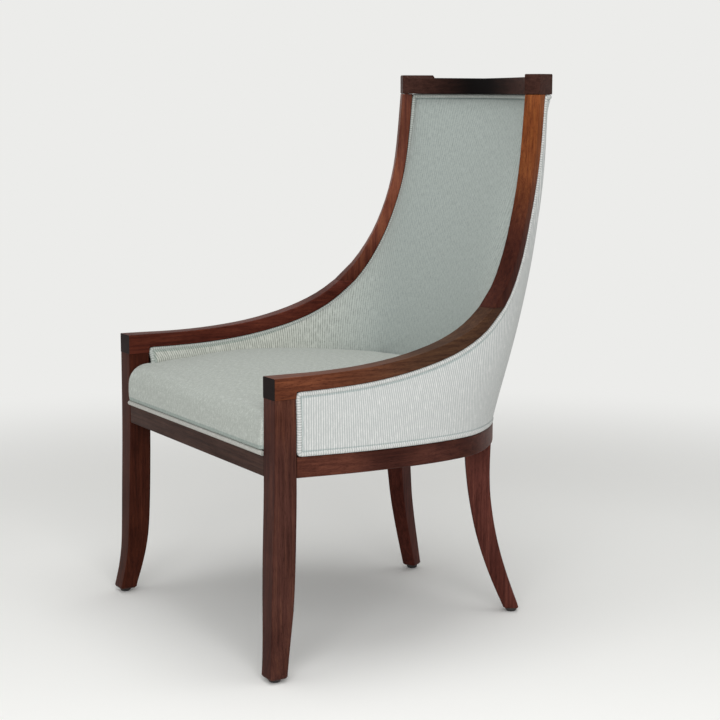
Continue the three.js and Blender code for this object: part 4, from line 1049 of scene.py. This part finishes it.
def seatMesh(name, grid, run):
    # the underside joins the first and last rows, and each end closes round a middle point
    rows, columns = grid.shape[:2]
    count = rows * columns
    index = np.arange(count).reshape(rows, columns)
    underside = np.stack([index[0, :-1], index[0, 1:], index[-1, 1:], index[-1, :-1]], 1)
    parts = [atCorners(index).reshape(-1, 4)[:, ::-1], underside]
    for hub, edge, turn in ((count, index[:, 0], 1), (count + 1, index[:, -1], -1)):
        parts.append(np.stack([edge, np.roll(edge, -1), np.full(rows, hub)][::turn], 1))
    inward, up = seat["hub"]
    hubs = [[s * (tub["seatHalf"] - inward), seat["middle"], seat["foot"] + up] for s in (-1, 1)]
    # across is x and up is the length of the profile
    uv = np.stack(np.broadcast_arrays(grid[..., 0], run[:, None]), 2)
    flatUv = np.concatenate([uv.reshape(-1, 2), np.zeros((2, 2))])
    corners = np.concatenate([part.ravel() for part in parts])
    faces = [face for part in parts for face in part.tolist()]
    return newPiece(name, np.concatenate([grid.reshape(-1, 3), hubs]), faces, flatUv[corners])


profile = seatProfile()
profileRun = lengths(profile)
seatHalf, betweenLegs = seatWidths(profile)
seatTop = seatGrid(profile, seatHalf, betweenLegs)
seatPiece = dressed(seatMesh("tight_seat", seatTop, profileRun), seatCloth)
measured(seatPiece, np.append(np.repeat(profileRun, seat["columns"]), [seat["hubSeam"]] * 2))
nearSide = np.abs(seatTop[..., 0]) > seatHalf[:, None] - seat["heldEdge"]
firstRows = np.arange(len(profile)) < seat["heldRows"]
nearEnd = firstRows | (profile[:, 1] > seat["back"] - seat["heldRear"])
settled(seatPiece, np.append((nearSide | nearEnd[:, None]).ravel(), [True, True]))
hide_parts("seat_cushion")
print("seat made")


# Stage, light and camera

stage = {
    "tone": "#ececea",
    "floorTone": "#f9f9f7",
    "floorRoughness": 0.9,
    "floorShine": 0.05,
    "ambient": 0.5,
    "nearRadius": 1.1,        # the floor keeps its shadows out to here
    "farRadius": 2.6,         # and from here on it is as even as the backdrop
    "size": 40.0,
}
square = np.array([[-1, -1, 0], [1, -1, 0], [1, 1, 0], [-1, 1, 0]]) * stage["size"]
floor = newPiece("floor", square, [[0, 1, 2, 3]])
floorMaterial, floorTree = newMaterial("paleFloor")
floorShader = floorTree.nodes["Principled BSDF"]
feed(floorTree, floorShader, {
    "Base Color": linear(stage["floorTone"]), "Roughness": stage["floorRoughness"],
    "Specular IOR Level": stage["floorShine"]})
even = addNode(floorTree, "ShaderNodeEmission", inputs={"Color": linear(stage["tone"])})
spot = addNode(floorTree, "ShaderNodeTexCoord").outputs["Object"]
distance = addNode(floorTree, "ShaderNodeVectorMath", {"operation": "LENGTH"}, {0: spot})
fade = addNode(floorTree, "ShaderNodeMapRange", smoothRange, {
    "Value": distance.outputs["Value"],
    "From Min": stage["nearRadius"], "From Max": stage["farRadius"]})
surface = addNode(floorTree, "ShaderNodeMixShader", inputs={"Fac": fade, 1: floorShader, 2: even})
feed(floorTree, floorTree.nodes["Material Output"], {"Surface": surface})
floor.data.materials.append(floorMaterial)

world = bpy.data.worlds.new("softRoom")
bpy.context.scene.world = world
world.use_nodes = True
sky = world.node_tree
# the backdrop is seen at its full tone and lights the chair with less
ray = addNode(sky, "ShaderNodeLightPath")
seen = ray.outputs["Is Camera Ray"]
for kind in ("Is Glossy Ray", "Is Transmission Ray"):
    seen = addNode(sky, "ShaderNodeMath", {"operation": "MAXIMUM"}, {0: seen, 1: ray.outputs[kind]})
strength = addNode(sky, "ShaderNodeMapRange", inputs={"Value": seen, "To Min": stage["ambient"]})
feed(sky, sky.nodes["Background"], {"Color": linear(stage["tone"]), "Strength": strength})

# name: place, aim, size and power
lamps = {
    "rightWindow": ((2.5, -1.4, 1.7), (0.1, 0, 0.5), 2.4, 56),
    "frontFill": ((-0.6, -3.2, 1.4), (0, 0, 0.55), 2.4, 9),
    "overhead": ((0.3, 0.1, 3.0), (0, 0, 0.4), 2.0, 25),
}
for name, (place, aim, size, power) in lamps.items():
    lamp = newObject(name, bpy.data.lights.new(name, "AREA"))
    lamp.data.size = size
    lamp.data.energy = power
    lamp.location = place
    # a lamp shines along its own -Z, which is turned to its aim
    x, y, z = np.subtract(aim, place)
    lamp.rotation_euler = (math.pi / 2 + math.atan2(z, math.hypot(x, y)), 0,
                           math.atan2(y, x) - math.pi / 2)

# a long lens from the sitter's front left, looking a little down
cameraView = {
    "place": (2.864, legFront - 1.321, 0.9795),
    "azimuth": math.radians(59.78),
    "pitch": math.radians(8.68),
    "lens": 89.435,
    "sensor": 36,
}
camera = newObject("camera", bpy.data.cameras.new("camera"))
camera.data.lens = cameraView["lens"]
camera.data.sensor_width = cameraView["sensor"]
camera.location = cameraView["place"]
camera.rotation_euler = (math.pi / 2 - cameraView["pitch"], 0, cameraView["azimuth"])
bpy.context.scene.camera = camera
bpy.context.scene.view_settings.view_transform = "Standard"
print("stage, lights and camera made")
